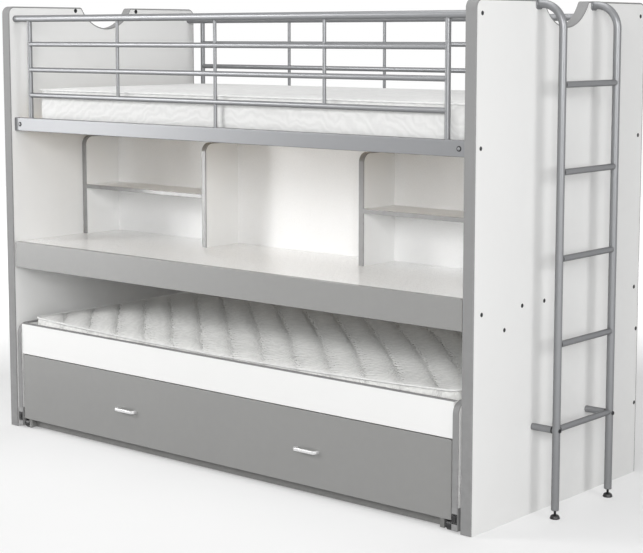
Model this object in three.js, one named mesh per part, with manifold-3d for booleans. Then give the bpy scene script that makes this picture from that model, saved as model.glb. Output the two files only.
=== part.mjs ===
// Triple bunk bed: a high bed between two end panels, a desk with a hutch below it,
// a low bed on castors that rolls out from under the desk, and a drawer bed inside that one.
// Units are millimetres. X runs along the beds, Y from the front to the wall and Z up.
// Until the last lines, X starts at the left panel's outer face, Y at the panels' front edges.
import * as THREE from 'three';
import { mergeVertices } from 'three/addons/utils/BufferGeometryUtils.js';
import Module from 'manifold-3d';

const wasm = await Module();
wasm.setup();

// Fits and clearances
const fitGap = 0.3;
const floorGap = 0.25;
const cutOverrun = 5;

// The mattresses set the length, and the panels are apart by their length and some room
const mattressLength = 2000;
const mattressEndRoom = 100;

// End panels with a scalloped top edge and a thin edging strip round their front, top and rear
const panelThickness = 40;
const panelDepth = 980;
const panelOverGuard = 46;
const panelCornerRadius = 28;
const edgingThickness = 2;
const edgingLift = 2;
const scallopRadius = 143;
const scallopDepth = 80;
const scallopFillet = 12;

// Steel rails of the high bed, each a tube with a ledge for the slats
const railHeight = 50;
const railThickness = 25;
const railWall = 1.5;
const railOverHutch = 35;
const railSetback = 18.5;
const ledgeWidth = 25;
const ledgeThickness = 3;
const ledgeLift = 2;

// Welded guards on the rails
const guardTopRadius = 12.5;
const guardHeight = 371;
const guardBarRadius = 9;
const guardLowestGap = 86;
const guardBarCount = 3;
const guardRodRadius = 6;
const guardEndInset = 83;

// Slatted bases
const slatThickness = 18;
const slatCount = 14;
const slatFrameWidth = 60;
const slatWidthShare = 0.45;
const slatEndGap = 2;

// High bed's mattress
const highMattressSideGap = 1.5;
const highMattressHeight = 132;
const highMattressCrown = 10;
const highMattressEndGap = 5;
const mattressCornerRadius = 60;

// Desk
const apronSetback = 5;
const apronThickness = 22;
const apronHeight = 98;
const apronEndGap = 4;
const apronCornerRadius = 8;
const deskHeight = 722;
const deskThickness = 22;
const bearerThickness = 22;
const bearerHeight = 50;

// Hutch on the desk
const hutchSetback = 350;
const hutchDepth = 172;
const hutchHeight = 388;
const hutchBoardThickness = 22;
const hutchCornerRadius = 35;
const hutchBackThickness = 16;
const hutchBayWidth = 642;
const shelfThickness = 16;
const shelfTop = 919;

// Boards across the back
const stretcherHeight = 100;
const stretcherThickness = 22;
const stretcherBottom = 603;
const stretcherRearGap = 22;
const lowerBackBottom = 200;
const lowerBackHeight = 352;
const lowerBackThickness = 16;

// Ladder on the right panel's outer face
const ladderStandoff = 88;
const stileSpacing = 320;
const stileRadius = 12.5;
const stileBendRadius = 75;
const stileBottom = 28;
const flangeWidth = 36;
const flangeHeight = 29;
const flangeThickness = 3;
const flangeCornerRadius = 10;
const standoffRadius = 11;
const standoffHeight = 282;
const rungRadius = 10;
const rungCount = 5;
const firstRungHeight = 285.4;
const topRungDrop = 257;
const footRadius = 16;
const footHeight = 14;
const footRim = 4;
const footEdge = 1.5;
const footStemRadius = 4;
const footStemReach = 20;
const footBoreDepth = 45;

// Roll-out bed
const rollEndGap = 10;
const rollBoardThickness = 22;
const rollRearGap = 25;
const rollBottom = 8;
const rollHeight = 400;
const rollCornerRadius = 40;
const rollFrontSetback = 5;
const rollFrontHeight = 116.5;
const rollBackBottom = 38;
const rollSlatTop = 300;
const rollMattressSetback = 43;
const rollMattressRearGap = 2;
const rollMattressHeight = 137;
const rollMattressCrown = 30;
const rollMattressDip = 22;
const rollMattressStart = 22;
const quiltPitch = 147;
const quiltSlope = 0.95;
const quiltDepth = 9;
const quiltStart = 567;

// Castors of the roll-out bed, each in a housing let into the end board's corner
const housingSize = 72;
const housingWall = 3;
const housingRoof = 24;
const rollWheelRadius = 24;
const rollWheelWidth = 14;
const axleRadius = 4;
const axleClearance = 0.4;
const wheelChamfer = 2;

// Brake levers in the front housings
const leverBottom = 34;
const leverHeight = 22;
const leverWidth = 12;
const leverProud = 3;
const leverDepth = 8;
const leverPinRadius = 1.5;
const leverPinInset = 4;
const leverRound = 2;
const leverClearance = 2;

// Drawer bed inside the roll-out bed
const drawerEndGap = 4;
const drawerFrontThickness = 22;
const drawerFrontBottom = 38;
const drawerTopGap = 3.5;
const drawerSideInset = 32;
const drawerSideThickness = 16;
const drawerSideHeight = 182;
const drawerRearGap = 18;
const drawerToe = 20;
const drawerBaseThickness = 16;
const drawerLipDepth = 16;
const drawerMattressHeight = 132;
const drawerMattressCrown = 8;
const drawerMattressGap = 6;
const drawerWheelRadius = 18;
const drawerWheelWidth = 22;
const drawerWheelFront = 25;
const drawerWheelInset = 35;
const handleLength = 100;
const handleProud = 22;
const handleThickness = 9;
const handleHeight = 11;
const handleRadius = 14;
const handleLevel = 158;
const handleOffset = 432;

// Mattress edges
const borderRound = 14;
const borderRoll = 18;
const borderTuck = 6;
const mattressWaist = 5;
const quiltFade = 70;
const plainStep = 150;

// How finely round things are divided
const cornerSteps = 6;
const filletSteps = 3;
const scallopSteps = 14;
const tubeSides = 12;
const stileSides = 16;
const bendSteps = 6;
const wheelSides = 20;
const pinSides = 12;

// Places that several pieces share
const innerLength = mattressLength + mattressEndRoom;
const leftFace = panelThickness;
const rightFace = leftFace + innerLength;
const overallLength = rightFace + panelThickness;
const railBottom = deskHeight + hutchHeight + railOverHutch;
const railTop = railBottom + railHeight;
const guardTopHeight = railTop + guardHeight;
const panelHeight = guardTopHeight + panelOverGuard;
const ledgeTop = railBottom + ledgeLift + ledgeThickness;
const railCentre = railSetback + railThickness / 2;
const railBack = railSetback + railThickness;
const highSlatTop = ledgeTop + slatThickness;
const deskFront = apronSetback + apronThickness;
const hutchBack = hutchSetback + hutchDepth;
const deskBack = hutchBack + hutchBackThickness;
const deskUnderside = deskHeight - deskThickness;
const rollLeft = leftFace + rollEndGap;
const rollRight = rightFace - rollEndGap;
const rollInnerLeft = rollLeft + rollBoardThickness;
const rollInnerRight = rollRight - rollBoardThickness;
const rollTop = rollBottom + rollHeight;
const rollInnerFront = rollFrontSetback + rollBoardThickness;
const rollDepth = panelDepth - rollRearGap;
const rollInnerBack = rollDepth - rollBoardThickness;
const drawerSideLeft = rollInnerLeft + drawerSideInset;
const drawerSideRight = rollInnerRight - drawerSideInset - drawerSideThickness;
const drawerInnerFront = rollFrontSetback + drawerFrontThickness;
const drawerBack = rollInnerBack - drawerRearGap;
const drawerBaseTop = drawerFrontBottom;
const housingTop = rollBottom + housingSize;

// Finishes
const whiteBoard = { color: 0xe9e8e4, roughness: 0.5, metalness: 0 };
const greyBoard = { color: 0xa9a9a7, roughness: 0.5, metalness: 0 };
const greyEdging = { color: 0xa3a3a1, roughness: 0.45, metalness: 0 };
const silverSteel = { color: 0xb4b6b8, roughness: 0.35, metalness: 0.6 };
const blackPlastic = { color: 0x191a1b, roughness: 0.5, metalness: 0 };
const greyPlastic = { color: 0x8f908f, roughness: 0.5, metalness: 0 };
const quiltedFabric = { color: 0xecebe7, roughness: 0.9, metalness: 0 };
const birchSlats = { color: 0xd6c39d, roughness: 0.6, metalness: 0 };

const bed = new THREE.Group();

// A named mesh with its own material, added to a group
function piece(name, geometry, finish, parent = bed) {
  const mesh = new THREE.Mesh(geometry, new THREE.MeshStandardMaterial(finish));
  mesh.name = name;
  parent.add(mesh);
  return mesh;
}

// A board given by its lowest and highest corners
function board(name, low, high, finish) {
  const size = high.map((value, axis) => value - low[axis]);
  const mesh = piece(name, new THREE.BoxGeometry(...size), finish);
  mesh.position.set(...low.map((value, axis) => value + size[axis] / 2));
  return mesh;
}

// An outline drawn in two of the axes and thickened along the third
const outlineBases = {
  x: [new THREE.Vector3(0, 1, 0), new THREE.Vector3(0, 0, 1), new THREE.Vector3(1, 0, 0)],
  y: [new THREE.Vector3(1, 0, 0), new THREE.Vector3(0, 0, 1), new THREE.Vector3(0, -1, 0)],
  z: [new THREE.Vector3(1, 0, 0), new THREE.Vector3(0, 1, 0), new THREE.Vector3(0, 0, 1)],
};
function thicken(points, axis, depth, holes = []) {
  const shape = new THREE.Shape(points);
  for (const hole of holes) shape.holes.push(new THREE.Path(hole));
  const geometry = new THREE.ExtrudeGeometry(shape, { depth, steps: 1, bevelEnabled: false });
  return geometry.applyMatrix4(new THREE.Matrix4().makeBasis(...outlineBases[axis]));
}

// Points on an arc, with angles in quarter turns
function arc(centreU, centreV, radius, from, to, steps) {
  const points = [];
  for (let step = 0; step <= steps; step += 1) {
    const angle = (from + ((to - from) * step) / steps) * (Math.PI / 2);
    points.push(new THREE.Vector2(centreU + radius * Math.cos(angle), centreV + radius * Math.sin(angle)));
  }
  return points;
}

// A rectangle whose corners can each have a radius: low left, low right, high right, high left
function roundedRectangle(lowU, lowV, highU, highV, radii) {
  const [lowLeft, lowRight, highRight, highLeft] = radii;
  const corner = (u, v, radius, from) =>
    radius > 0 ? arc(u, v, radius, from, from + 1, cornerSteps) : [new THREE.Vector2(u, v)];
  return [
    ...corner(lowU + lowLeft, lowV + lowLeft, lowLeft, 2),
    ...corner(highU - lowRight, lowV + lowRight, lowRight, 3),
    ...corner(highU - highRight, highV - highRight, highRight, 0),
    ...corner(lowU + highLeft, highV - highLeft, highLeft, 1),
  ];
}

// A closed geometry as a solid that can be joined and cut, and back again
function solidOf(geometry) {
  const bare = geometry.clone();
  bare.deleteAttribute('normal');
  bare.deleteAttribute('uv');
  const merged = mergeVertices(bare);
  return new wasm.Manifold(
    new wasm.Mesh({
      numProp: 3,
      vertProperties: new Float32Array(merged.attributes.position.array),
      triVerts: new Uint32Array(merged.index.array),
    }),
  );
}
function geometryOf(solid) {
  const mesh = solid.getMesh();
  const geometry = new THREE.BufferGeometry();
  geometry.setAttribute('position', new THREE.BufferAttribute(new Float32Array(mesh.vertProperties), 3));
  geometry.setIndex(new THREE.BufferAttribute(new Uint32Array(mesh.triVerts), 1));
  geometry.computeVertexNormals();
  return geometry;
}
function joined(geometries) {
  return geometries.map(solidOf).reduce((whole, next) => whole.add(next));
}

// A round bar between two points
function rod(from, to, radius, sides) {
  const start = new THREE.Vector3(...from);
  const run = new THREE.Vector3(...to).sub(start);
  const geometry = new THREE.CylinderGeometry(radius, radius, run.length(), sides);
  const turn = new THREE.Quaternion().setFromUnitVectors(new THREE.Vector3(0, 1, 0), run.clone().normalize());
  geometry.applyQuaternion(turn);
  return geometry.translate(...start.addScaledVector(run, 1 / 2).toArray());
}

// A box given by its corners, as a geometry for cutting and joining
function block(low, high) {
  const size = high.map((value, axis) => value - low[axis]);
  return new THREE.BoxGeometry(...size).translate(...low.map((value, axis) => value + size[axis] / 2));
}

// The panel's outline from the front foot over the top to the rear foot, drawn in by an inset
function panelOutline(inset, bottom) {
  const corner = panelCornerRadius;
  const middle = panelDepth / 2;
  const scallopCentre = panelHeight - scallopDepth + scallopRadius;
  const filletLevel = panelHeight - scallopFillet;
  const reach = scallopRadius + scallopFillet;
  const filletOffset = Math.sqrt(reach ** 2 - (scallopCentre - filletLevel) ** 2);
  const tilt = Math.atan2(scallopCentre - filletLevel, filletOffset) / (Math.PI / 2);
  const smallRadius = scallopFillet - inset;
  return [
    new THREE.Vector2(inset, bottom),
    ...arc(corner, panelHeight - corner, corner - inset, 2, 1, cornerSteps),
    ...arc(middle - filletOffset, filletLevel, smallRadius, 1, tilt, filletSteps),
    ...arc(middle, scallopCentre, scallopRadius + inset, 2 + tilt, 4 - tilt, scallopSteps),
    ...arc(middle + filletOffset, filletLevel, smallRadius, 2 - tilt, 1, filletSteps),
    ...arc(panelDepth - corner, panelHeight - corner, corner - inset, 1, 0, cornerSteps),
    new THREE.Vector2(panelDepth - inset, bottom),
  ];
}

// End panels and their edging
const panelShape = panelOutline(edgingThickness + fitGap, 0);
const edgingShape = [
  ...panelOutline(0, edgingLift),
  ...panelOutline(edgingThickness, edgingLift).reverse(),
];
for (const [side, faceX] of [['left', 0], ['right', rightFace]]) {
  const panel = piece(`${side}_end_panel`, thicken(panelShape, 'x', panelThickness), whiteBoard);
  panel.position.x = faceX;
  const edging = piece(`${side}_panel_edging`, thicken(edgingShape, 'x', panelThickness), greyEdging);
  edging.position.x = faceX;
}

// Bed rails: the tube is outside, the ledge for the slats inside, and the rear one is mirrored
const railBase = railSetback;
const railOutline = [
  new THREE.Vector2(railBase, railBottom),
  new THREE.Vector2(railBack, railBottom),
  new THREE.Vector2(railBack, railBottom + ledgeLift),
  new THREE.Vector2(railBack + ledgeWidth, railBottom + ledgeLift),
  new THREE.Vector2(railBack + ledgeWidth, ledgeTop),
  new THREE.Vector2(railBack, ledgeTop),
  new THREE.Vector2(railBack, railTop),
  new THREE.Vector2(railBase, railTop),
];
const railBore = roundedRectangle(
  railBase + railWall, railBottom + railWall, railBack - railWall, railTop - railWall, [0, 0, 0, 0],
);
const mirrored = (points) => points.map((point) => new THREE.Vector2(panelDepth - point.x, point.y)).reverse();
const frontRail = piece('front_bed_rail', thicken(railOutline, 'x', innerLength, [railBore]), silverSteel);
const rearRail = piece(
  'rear_bed_rail', thicken(mirrored(railOutline), 'x', innerLength, [mirrored(railBore)]), silverSteel,
);
frontRail.position.x = leftFace;
rearRail.position.x = leftFace;

// Guards: a top tube from panel to panel, bars between two end uprights and three thin rods
function guardGeometry() {
  const barLevels = [];
  const barPitch = (guardHeight - guardLowestGap) / guardBarCount;
  for (let bar = 1; bar <= guardBarCount; bar += 1) barLevels.push(guardTopHeight - bar * barPitch);
  const firstUpright = guardEndInset;
  const lastUpright = innerLength - guardEndInset;
  const bay = (lastUpright - firstUpright) / 4;
  const lowestBar = barLevels[barLevels.length - 1];
  const parts = [rod([0, 0, guardTopHeight], [innerLength, 0, guardTopHeight], guardTopRadius, tubeSides)];
  for (const level of barLevels) {
    parts.push(rod([firstUpright, 0, level], [lastUpright, 0, level], guardBarRadius, tubeSides));
  }
  for (const x of [firstUpright, lastUpright]) {
    parts.push(rod([x, 0, railTop], [x, 0, guardTopHeight], guardBarRadius, tubeSides));
  }
  for (const [index, foot] of [[1, lowestBar], [2, railTop], [3, lowestBar]]) {
    const x = firstUpright + index * bay;
    parts.push(rod([x, 0, foot], [x, 0, guardTopHeight], guardRodRadius, tubeSides));
  }
  return geometryOf(joined(parts));
}
for (const [side, centreY] of [['front', railCentre], ['rear', panelDepth - railCentre]]) {
  const guard = piece(`${side}_guard`, guardGeometry(), silverSteel);
  guard.position.set(leftFace, centreY, 0);
}

// A slatted base: a flat frame with slats across it
function slatBase(name, low, high) {
  const pitch = (high[0] - low[0]) / slatCount;
  const slatWidth = pitch * slatWidthShare;
  let base = solidOf(block([...low, 0], [...high, slatThickness]));
  for (let gap = 0; gap < slatCount; gap += 1) {
    const start = low[0] + gap * pitch + slatWidth / 2;
    const end = start + pitch - slatWidth;
    const opening = block(
      [start, low[1] + slatFrameWidth, -cutOverrun], [end, high[1] - slatFrameWidth, slatThickness + cutOverrun],
    );
    base = base.subtract(solidOf(opening));
  }
  return piece(name, geometryOf(base), birchSlats);
}
const upperSlats = slatBase(
  'upper_slat_base', [leftFace + slatEndGap, railBack + fitGap], [rightFace - slatEndGap, panelDepth - railBack - fitGap],
);
upperSlats.position.z = ledgeTop;

// Lines across a mattress: close together at its rounded ends and even between them
function gridLines(length, radius, step, offset) {
  const lines = [0, radius / 4, radius];
  const first = Math.ceil((radius + step / 4 - offset) / step);
  for (let line = offset + first * step; line < length - radius - step / 4; line += step) lines.push(line);
  return [...lines, length - radius, length - radius / 4, length];
}

// A mattress with a crown, drawn-in sides, rolled edges and, where it has them, diagonal quilting channels
function mattressGeometry(form) {
  const { length, width, height, crown, dip, columnStep, columnOffset, rowStep, quilt } = form;
  const columns = gridLines(length, mattressCornerRadius, columnStep, columnOffset);
  const rows = gridLines(width, mattressCornerRadius, rowStep, 0);
  const halfLength = length / 2;
  const halfWidth = width / 2;
  const place = (column, row, inset) => {
    const u = column / halfLength - 1;
    const v = row / halfWidth - 1;
    let x = u * (halfLength - inset - mattressWaist * (1 - v * v));
    let y = v * (halfWidth - inset - mattressWaist * (1 - u * u));
    const pastX = Math.abs(x) - (halfLength - mattressCornerRadius);
    const pastY = Math.abs(y) - (halfWidth - mattressCornerRadius);
    if (pastX > 0 && pastY > 0) {
      const pull = 1 - Math.max(pastX, pastY) / Math.hypot(pastX, pastY);
      x -= Math.sign(x) * pastX * pull;
      y -= Math.sign(y) * pastY * pull;
    }
    return [x, y];
  };
  const edgeHeight = (column) => height - dip * (1 - (column / halfLength - 1) ** 2);
  const topHeight = (column, row) => {
    const u = column / halfLength - 1;
    const v = row / halfWidth - 1;
    const rise = (height + crown - edgeHeight(column)) * (1 - v ** 4) * (1 - u ** 6);
    const toEdge = Math.min(column, row, length - column, width - row);
    const fade = Math.min(toEdge / quiltFade, 1);
    const phase = (column + row / quiltSlope - columnOffset) / quiltPitch;
    return edgeHeight(column) + rise - quilt * fade * (1 - Math.abs(Math.sin(Math.PI * phase)));
  };

  const vertices = [];
  const faces = [];
  const addVertex = (x, y, z) => vertices.push(x, y, z) / 3 - 1;
  const grid = rows.map((row) => columns.map((column) => {
    const [x, y] = place(column, row, borderRound);
    return addVertex(x, y, topHeight(column, row));
  }));
  for (let j = 0; j + 1 < rows.length; j += 1) {
    for (let i = 0; i + 1 < columns.length; i += 1) {
      faces.push(grid[j][i], grid[j][i + 1], grid[j + 1][i]);
      faces.push(grid[j][i + 1], grid[j + 1][i + 1], grid[j + 1][i]);
    }
  }

  const lastColumn = columns.length - 1;
  const lastRow = rows.length - 1;
  const loop = [];
  for (let i = 0; i < lastColumn; i += 1) loop.push([i, 0]);
  for (let j = 0; j < lastRow; j += 1) loop.push([lastColumn, j]);
  for (let i = lastColumn; i > 0; i -= 1) loop.push([i, lastRow]);
  for (let j = lastRow; j > 0; j -= 1) loop.push([0, j]);
  const rings = [
    [0, (top) => top - borderRoll],
    [borderTuck, (top) => top / 2],
    [0, () => borderRoll],
    [borderRound, () => 0],
  ];
  let upper = loop.map(([i, j]) => grid[j][i]);
  for (const [inset, level] of rings) {
    const lower = loop.map(([i, j]) => {
      const [x, y] = place(columns[i], rows[j], inset);
      return addVertex(x, y, level(edgeHeight(columns[i])));
    });
    for (let k = 0; k < loop.length; k += 1) {
      const next = (k + 1) % loop.length;
      faces.push(upper[k], lower[k], lower[next]);
      faces.push(upper[k], lower[next], upper[next]);
    }
    upper = lower;
  }
  const middle = addVertex(0, 0, 0);
  for (let k = 0; k < loop.length; k += 1) faces.push(middle, upper[(k + 1) % loop.length], upper[k]);

  const geometry = new THREE.BufferGeometry();
  geometry.setAttribute('position', new THREE.Float32BufferAttribute(vertices, 3));
  geometry.setIndex(faces);
  geometry.computeVertexNormals();
  return geometry;
}
function mattress(name, low, form) {
  const mesh = piece(name, mattressGeometry(form), quiltedFabric);
  mesh.position.set(low[0] + form.length / 2, low[1] + form.width / 2, low[2]);
}
const highMattressSide = railBack + highMattressSideGap;
mattress(
  'upper_mattress', [rightFace - highMattressEndGap - mattressLength, highMattressSide, highSlatTop + fitGap],
  {
    length: mattressLength, width: panelDepth - 2 * highMattressSide, height: highMattressHeight,
    crown: highMattressCrown, dip: 0, columnStep: plainStep, columnOffset: 0, rowStep: plainStep, quilt: 0,
  },
);

// Desk: a white top between the panels, a deeper grey apron before it and a bearer at each end
board('desk_top', [leftFace, deskFront, deskUnderside], [rightFace, deskBack, deskHeight], whiteBoard);
const apron = piece(
  'desk_apron',
  thicken(
    roundedRectangle(
      leftFace + apronEndGap, deskHeight - apronHeight, rightFace - apronEndGap, deskHeight,
      [0, 0, apronCornerRadius, apronCornerRadius],
    ),
    'y', apronThickness,
  ),
  greyBoard,
);
apron.position.y = deskFront;
for (const [side, x] of [['left', leftFace], ['right', rightFace - bearerThickness]]) {
  board(
    `desk_${side}_bearer`,
    [x, deskFront, deskUnderside - bearerHeight], [x + bearerThickness, deskBack, deskUnderside], whiteBoard,
  );
}

// Hutch: four uprights, two shelves and a back across the whole width
board(
  'hutch_back_panel', [leftFace, hutchBack, deskHeight], [rightFace, deskBack, deskHeight + hutchHeight], whiteBoard,
);
const uprightShape = roundedRectangle(
  hutchSetback, deskHeight, hutchBack, deskHeight + hutchHeight, [0, 0, 0, hutchCornerRadius],
);
const uprightPitch = hutchBoardThickness + hutchBayWidth;
const uprightPlaces = {
  hutch_left_side: leftFace,
  hutch_left_divider: leftFace + uprightPitch,
  hutch_right_divider: rightFace - hutchBoardThickness - uprightPitch,
  hutch_right_side: rightFace - hutchBoardThickness,
};
for (const [name, x] of Object.entries(uprightPlaces)) {
  const upright = piece(name, thicken(uprightShape, 'x', hutchBoardThickness), whiteBoard);
  upright.position.x = x;
}
for (const [name, neighbour] of [['left_shelf', 'hutch_left_side'], ['right_shelf', 'hutch_right_divider']]) {
  const start = uprightPlaces[neighbour] + hutchBoardThickness;
  board(
    name, [start, hutchSetback, shelfTop - shelfThickness], [start + hutchBayWidth, hutchBack, shelfTop], whiteBoard,
  );
}

// Boards across the back
const stretcherBack = panelDepth - stretcherRearGap;
board(
  'rear_stretcher',
  [leftFace, stretcherBack - stretcherThickness, stretcherBottom],
  [rightFace, stretcherBack, stretcherBottom + stretcherHeight], whiteBoard,
);
board(
  'lower_back_board',
  [leftFace, panelDepth - lowerBackThickness, lowerBackBottom],
  [rightFace, panelDepth, lowerBackBottom + lowerBackHeight], whiteBoard,
);

// The centre line of a ladder stile: out from the panel, round a bend and straight down.
// Its stations are one for each straight run and an even spread in the bend.
class StileLine extends THREE.Curve {
  getPoint(t) {
    const runs = bendSteps + 2;
    const along = t * runs;
    const turnX = ladderStandoff - stileBendRadius;
    const turnZ = panelHeight - stileRadius - stileBendRadius;
    if (along <= 1) return new THREE.Vector3(turnX * along, 0, turnZ + stileBendRadius);
    if (along >= runs - 1) {
      return new THREE.Vector3(ladderStandoff, 0, stileBottom + (turnZ - stileBottom) * (runs - along));
    }
    const angle = ((along - 1) / bendSteps) * (Math.PI / 2);
    return new THREE.Vector3(
      turnX + stileBendRadius * Math.sin(angle), 0, turnZ + stileBendRadius * Math.cos(angle),
    );
  }
  getPointAt(u) {
    return this.getPoint(u);
  }
  getTangentAt(u) {
    return this.getTangent(u);
  }
}

// A stile with its flange on the panel, its lower standoff and the bore for its foot
function stileGeometry() {
  const section = new THREE.Shape(arc(0, 0, stileRadius, 0, 4, stileSides).slice(1));
  const tube = new THREE.ExtrudeGeometry(section, {
    extrudePath: new StileLine(), steps: bendSteps + 2, bevelEnabled: false,
  });
  const flange = thicken(
    roundedRectangle(
      -flangeWidth / 2, panelHeight - flangeHeight, flangeWidth / 2, panelHeight,
      [flangeCornerRadius, flangeCornerRadius, 0, 0],
    ),
    'x', flangeThickness,
  );
  const standoff = rod([0, 0, standoffHeight], [ladderStandoff, 0, standoffHeight], standoffRadius, stileSides);
  const bore = rod(
    [ladderStandoff, 0, stileBottom - cutOverrun], [ladderStandoff, 0, stileBottom + footBoreDepth],
    footStemRadius + axleClearance, pinSides,
  );
  return geometryOf(joined([tube, flange, standoff]).subtract(solidOf(bore)));
}

// A rung whose ends are hollowed to fit the stiles, and the standoffs where it meets them
function rungGeometry(level) {
  const half = stileSpacing / 2;
  const standoffDrop = standoffHeight - level;
  let rung = solidOf(rod([0, -half, 0], [0, half, 0], rungRadius, stileSides));
  for (const y of [-half, half]) {
    const stile = rod(
      [0, y, -rungRadius - cutOverrun], [0, y, rungRadius + cutOverrun], stileRadius + fitGap, stileSides,
    );
    const standoff = rod(
      [-ladderStandoff, y, standoffDrop], [0, y, standoffDrop], standoffRadius + fitGap, stileSides,
    );
    rung = rung.subtract(solidOf(stile)).subtract(solidOf(standoff));
  }
  return geometryOf(rung);
}

// A levelling foot: a domed disc with a stem that runs up into the stile
function footGeometry() {
  const profile = [
    new THREE.Vector2(0, floorGap),
    new THREE.Vector2(footRadius - footEdge, floorGap),
    new THREE.Vector2(footRadius, floorGap + footEdge),
    new THREE.Vector2(footRadius, footRim),
    ...[1, 2, 3].map((step) => {
      const angle = (step / 4) * (Math.PI / 2);
      const reach = footRadius - footStemRadius;
      return new THREE.Vector2(
        footStemRadius + reach * Math.cos(angle), footRim + (footHeight - footRim) * Math.sin(angle),
      );
    }),
    new THREE.Vector2(footStemRadius, footHeight),
    new THREE.Vector2(footStemRadius, stileBottom + footStemReach),
    new THREE.Vector2(0, stileBottom + footStemReach),
  ];
  return new THREE.LatheGeometry(profile, stileSides).rotateX(Math.PI / 2);
}

const ladder = new THREE.Group();
ladder.position.set(overallLength, panelDepth / 2, 0);
bed.add(ladder);
for (const [side, y] of [['front', -stileSpacing / 2], ['rear', stileSpacing / 2]]) {
  piece(`ladder_${side}_stile`, stileGeometry(), silverSteel, ladder).position.y = y;
  piece(`${side}_ladder_foot`, footGeometry(), blackPlastic, ladder).position.set(ladderStandoff, y, 0);
}
const rungPitch = (panelHeight - topRungDrop - firstRungHeight) / (rungCount - 1);
for (let rung = 0; rung < rungCount; rung += 1) {
  const level = firstRungHeight + rung * rungPitch;
  const mesh = piece(`ladder_rung_${rung + 1}`, rungGeometry(level), silverSteel, ladder);
  mesh.position.set(ladderStandoff, 0, level);
}

// Roll-out bed: end boards with notches for the castors, front and back boards, slats and mattress
const rollEndShape = [
  new THREE.Vector2(housingSize, rollBottom),
  new THREE.Vector2(rollDepth - housingSize, rollBottom),
  new THREE.Vector2(rollDepth - housingSize, housingTop),
  new THREE.Vector2(rollDepth, housingTop),
  ...arc(rollDepth - rollCornerRadius, rollTop - rollCornerRadius, rollCornerRadius, 0, 1, cornerSteps),
  ...arc(rollCornerRadius, rollTop - rollCornerRadius, rollCornerRadius, 1, 2, cornerSteps),
  new THREE.Vector2(0, housingTop),
  new THREE.Vector2(housingSize, housingTop),
];
for (const [side, x] of [['left', rollLeft], ['right', rollInnerRight]]) {
  piece(`roll_bed_${side}_end`, thicken(rollEndShape, 'x', rollBoardThickness), whiteBoard).position.x = x;
}
board(
  'roll_bed_front_board',
  [rollInnerLeft, rollFrontSetback, rollTop - rollFrontHeight], [rollInnerRight, rollInnerFront, rollTop], whiteBoard,
);
board(
  'roll_bed_back_board',
  [rollInnerLeft, rollInnerBack, rollBackBottom], [rollInnerRight, rollDepth, rollTop], whiteBoard,
);
const rollSlats = slatBase(
  'roll_bed_slat_base', [rollInnerLeft + fitGap, rollInnerFront + fitGap], [rollInnerRight - fitGap, rollInnerBack - fitGap],
);
rollSlats.position.z = rollSlatTop - slatThickness;
const rollMattressLeft = rollInnerLeft + rollMattressStart;
mattress(
  'roll_bed_mattress', [rollMattressLeft, rollMattressSetback, rollSlatTop + fitGap],
  {
    length: mattressLength, width: rollInnerBack - rollMattressRearGap - rollMattressSetback,
    height: rollMattressHeight, crown: rollMattressCrown,
    dip: rollMattressDip, columnStep: quiltPitch / 2, columnOffset: quiltStart - rollMattressLeft,
    rowStep: (quiltPitch / 2) * quiltSlope, quilt: quiltDepth,
  },
);

// A castor housing: a block with a slot for the wheel and an axle across it.
// A front one also has a window for its brake lever and the lever's pin.
const rollAxleHeight = rollWheelRadius + floorGap;
const leverPinLevel = leverBottom + leverPinInset;
const leverPinDepth = leverDepth / 2 - leverProud;
function housingGeometry(hasLever) {
  const size = housingSize;
  const width = rollBoardThickness;
  const slot = block(
    [housingWall, housingWall * 2, rollBottom - cutOverrun],
    [width - housingWall, size - housingWall * 2, housingTop - housingRoof],
  );
  let housing = solidOf(block([0, 0, rollBottom], [width, size, housingTop])).subtract(solidOf(slot));
  if (hasLever) {
    const middle = width / 2;
    const windowHalf = leverWidth / 2 + fitGap;
    const window = block(
      [middle - windowHalf, -cutOverrun, leverBottom - leverClearance],
      [middle + windowHalf, leverDepth + cutOverrun, leverBottom + leverHeight + leverClearance],
    );
    const pinSeat = windowHalf + housingWall / 2;
    const pin = rod(
      [middle - pinSeat, leverPinDepth, leverPinLevel], [middle + pinSeat, leverPinDepth, leverPinLevel],
      leverPinRadius, pinSides,
    );
    housing = housing.subtract(solidOf(window)).add(solidOf(pin));
  }
  const axle = rod(
    [housingWall / 2, size / 2, rollAxleHeight], [width - housingWall / 2, size / 2, rollAxleHeight],
    axleRadius, pinSides,
  );
  return geometryOf(housing.add(solidOf(axle)));
}

// A wheel with a bore for its axle, turning about X
function wheelGeometry(radius, width) {
  const half = width / 2;
  const bore = axleRadius + axleClearance;
  const profile = [
    new THREE.Vector2(bore, -half),
    new THREE.Vector2(radius - wheelChamfer, -half),
    new THREE.Vector2(radius, wheelChamfer - half),
    new THREE.Vector2(radius, half - wheelChamfer),
    new THREE.Vector2(radius - wheelChamfer, half),
    new THREE.Vector2(bore, half),
    new THREE.Vector2(bore, -half),
  ];
  return new THREE.LatheGeometry(profile, wheelSides).rotateZ(-Math.PI / 2);
}

// A brake lever: a rounded pad with a bore for its pin, drawn about the pin
function leverGeometry() {
  const low = -leverPinInset;
  const outline = roundedRectangle(
    -leverDepth / 2, low, leverDepth / 2, low + leverHeight, [leverRound, leverRound, leverRound, leverRound],
  );
  const bore = arc(0, 0, leverPinRadius + axleClearance, 0, 4, pinSides).slice(1);
  return thicken(outline, 'x', leverWidth, [bore]);
}

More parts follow.
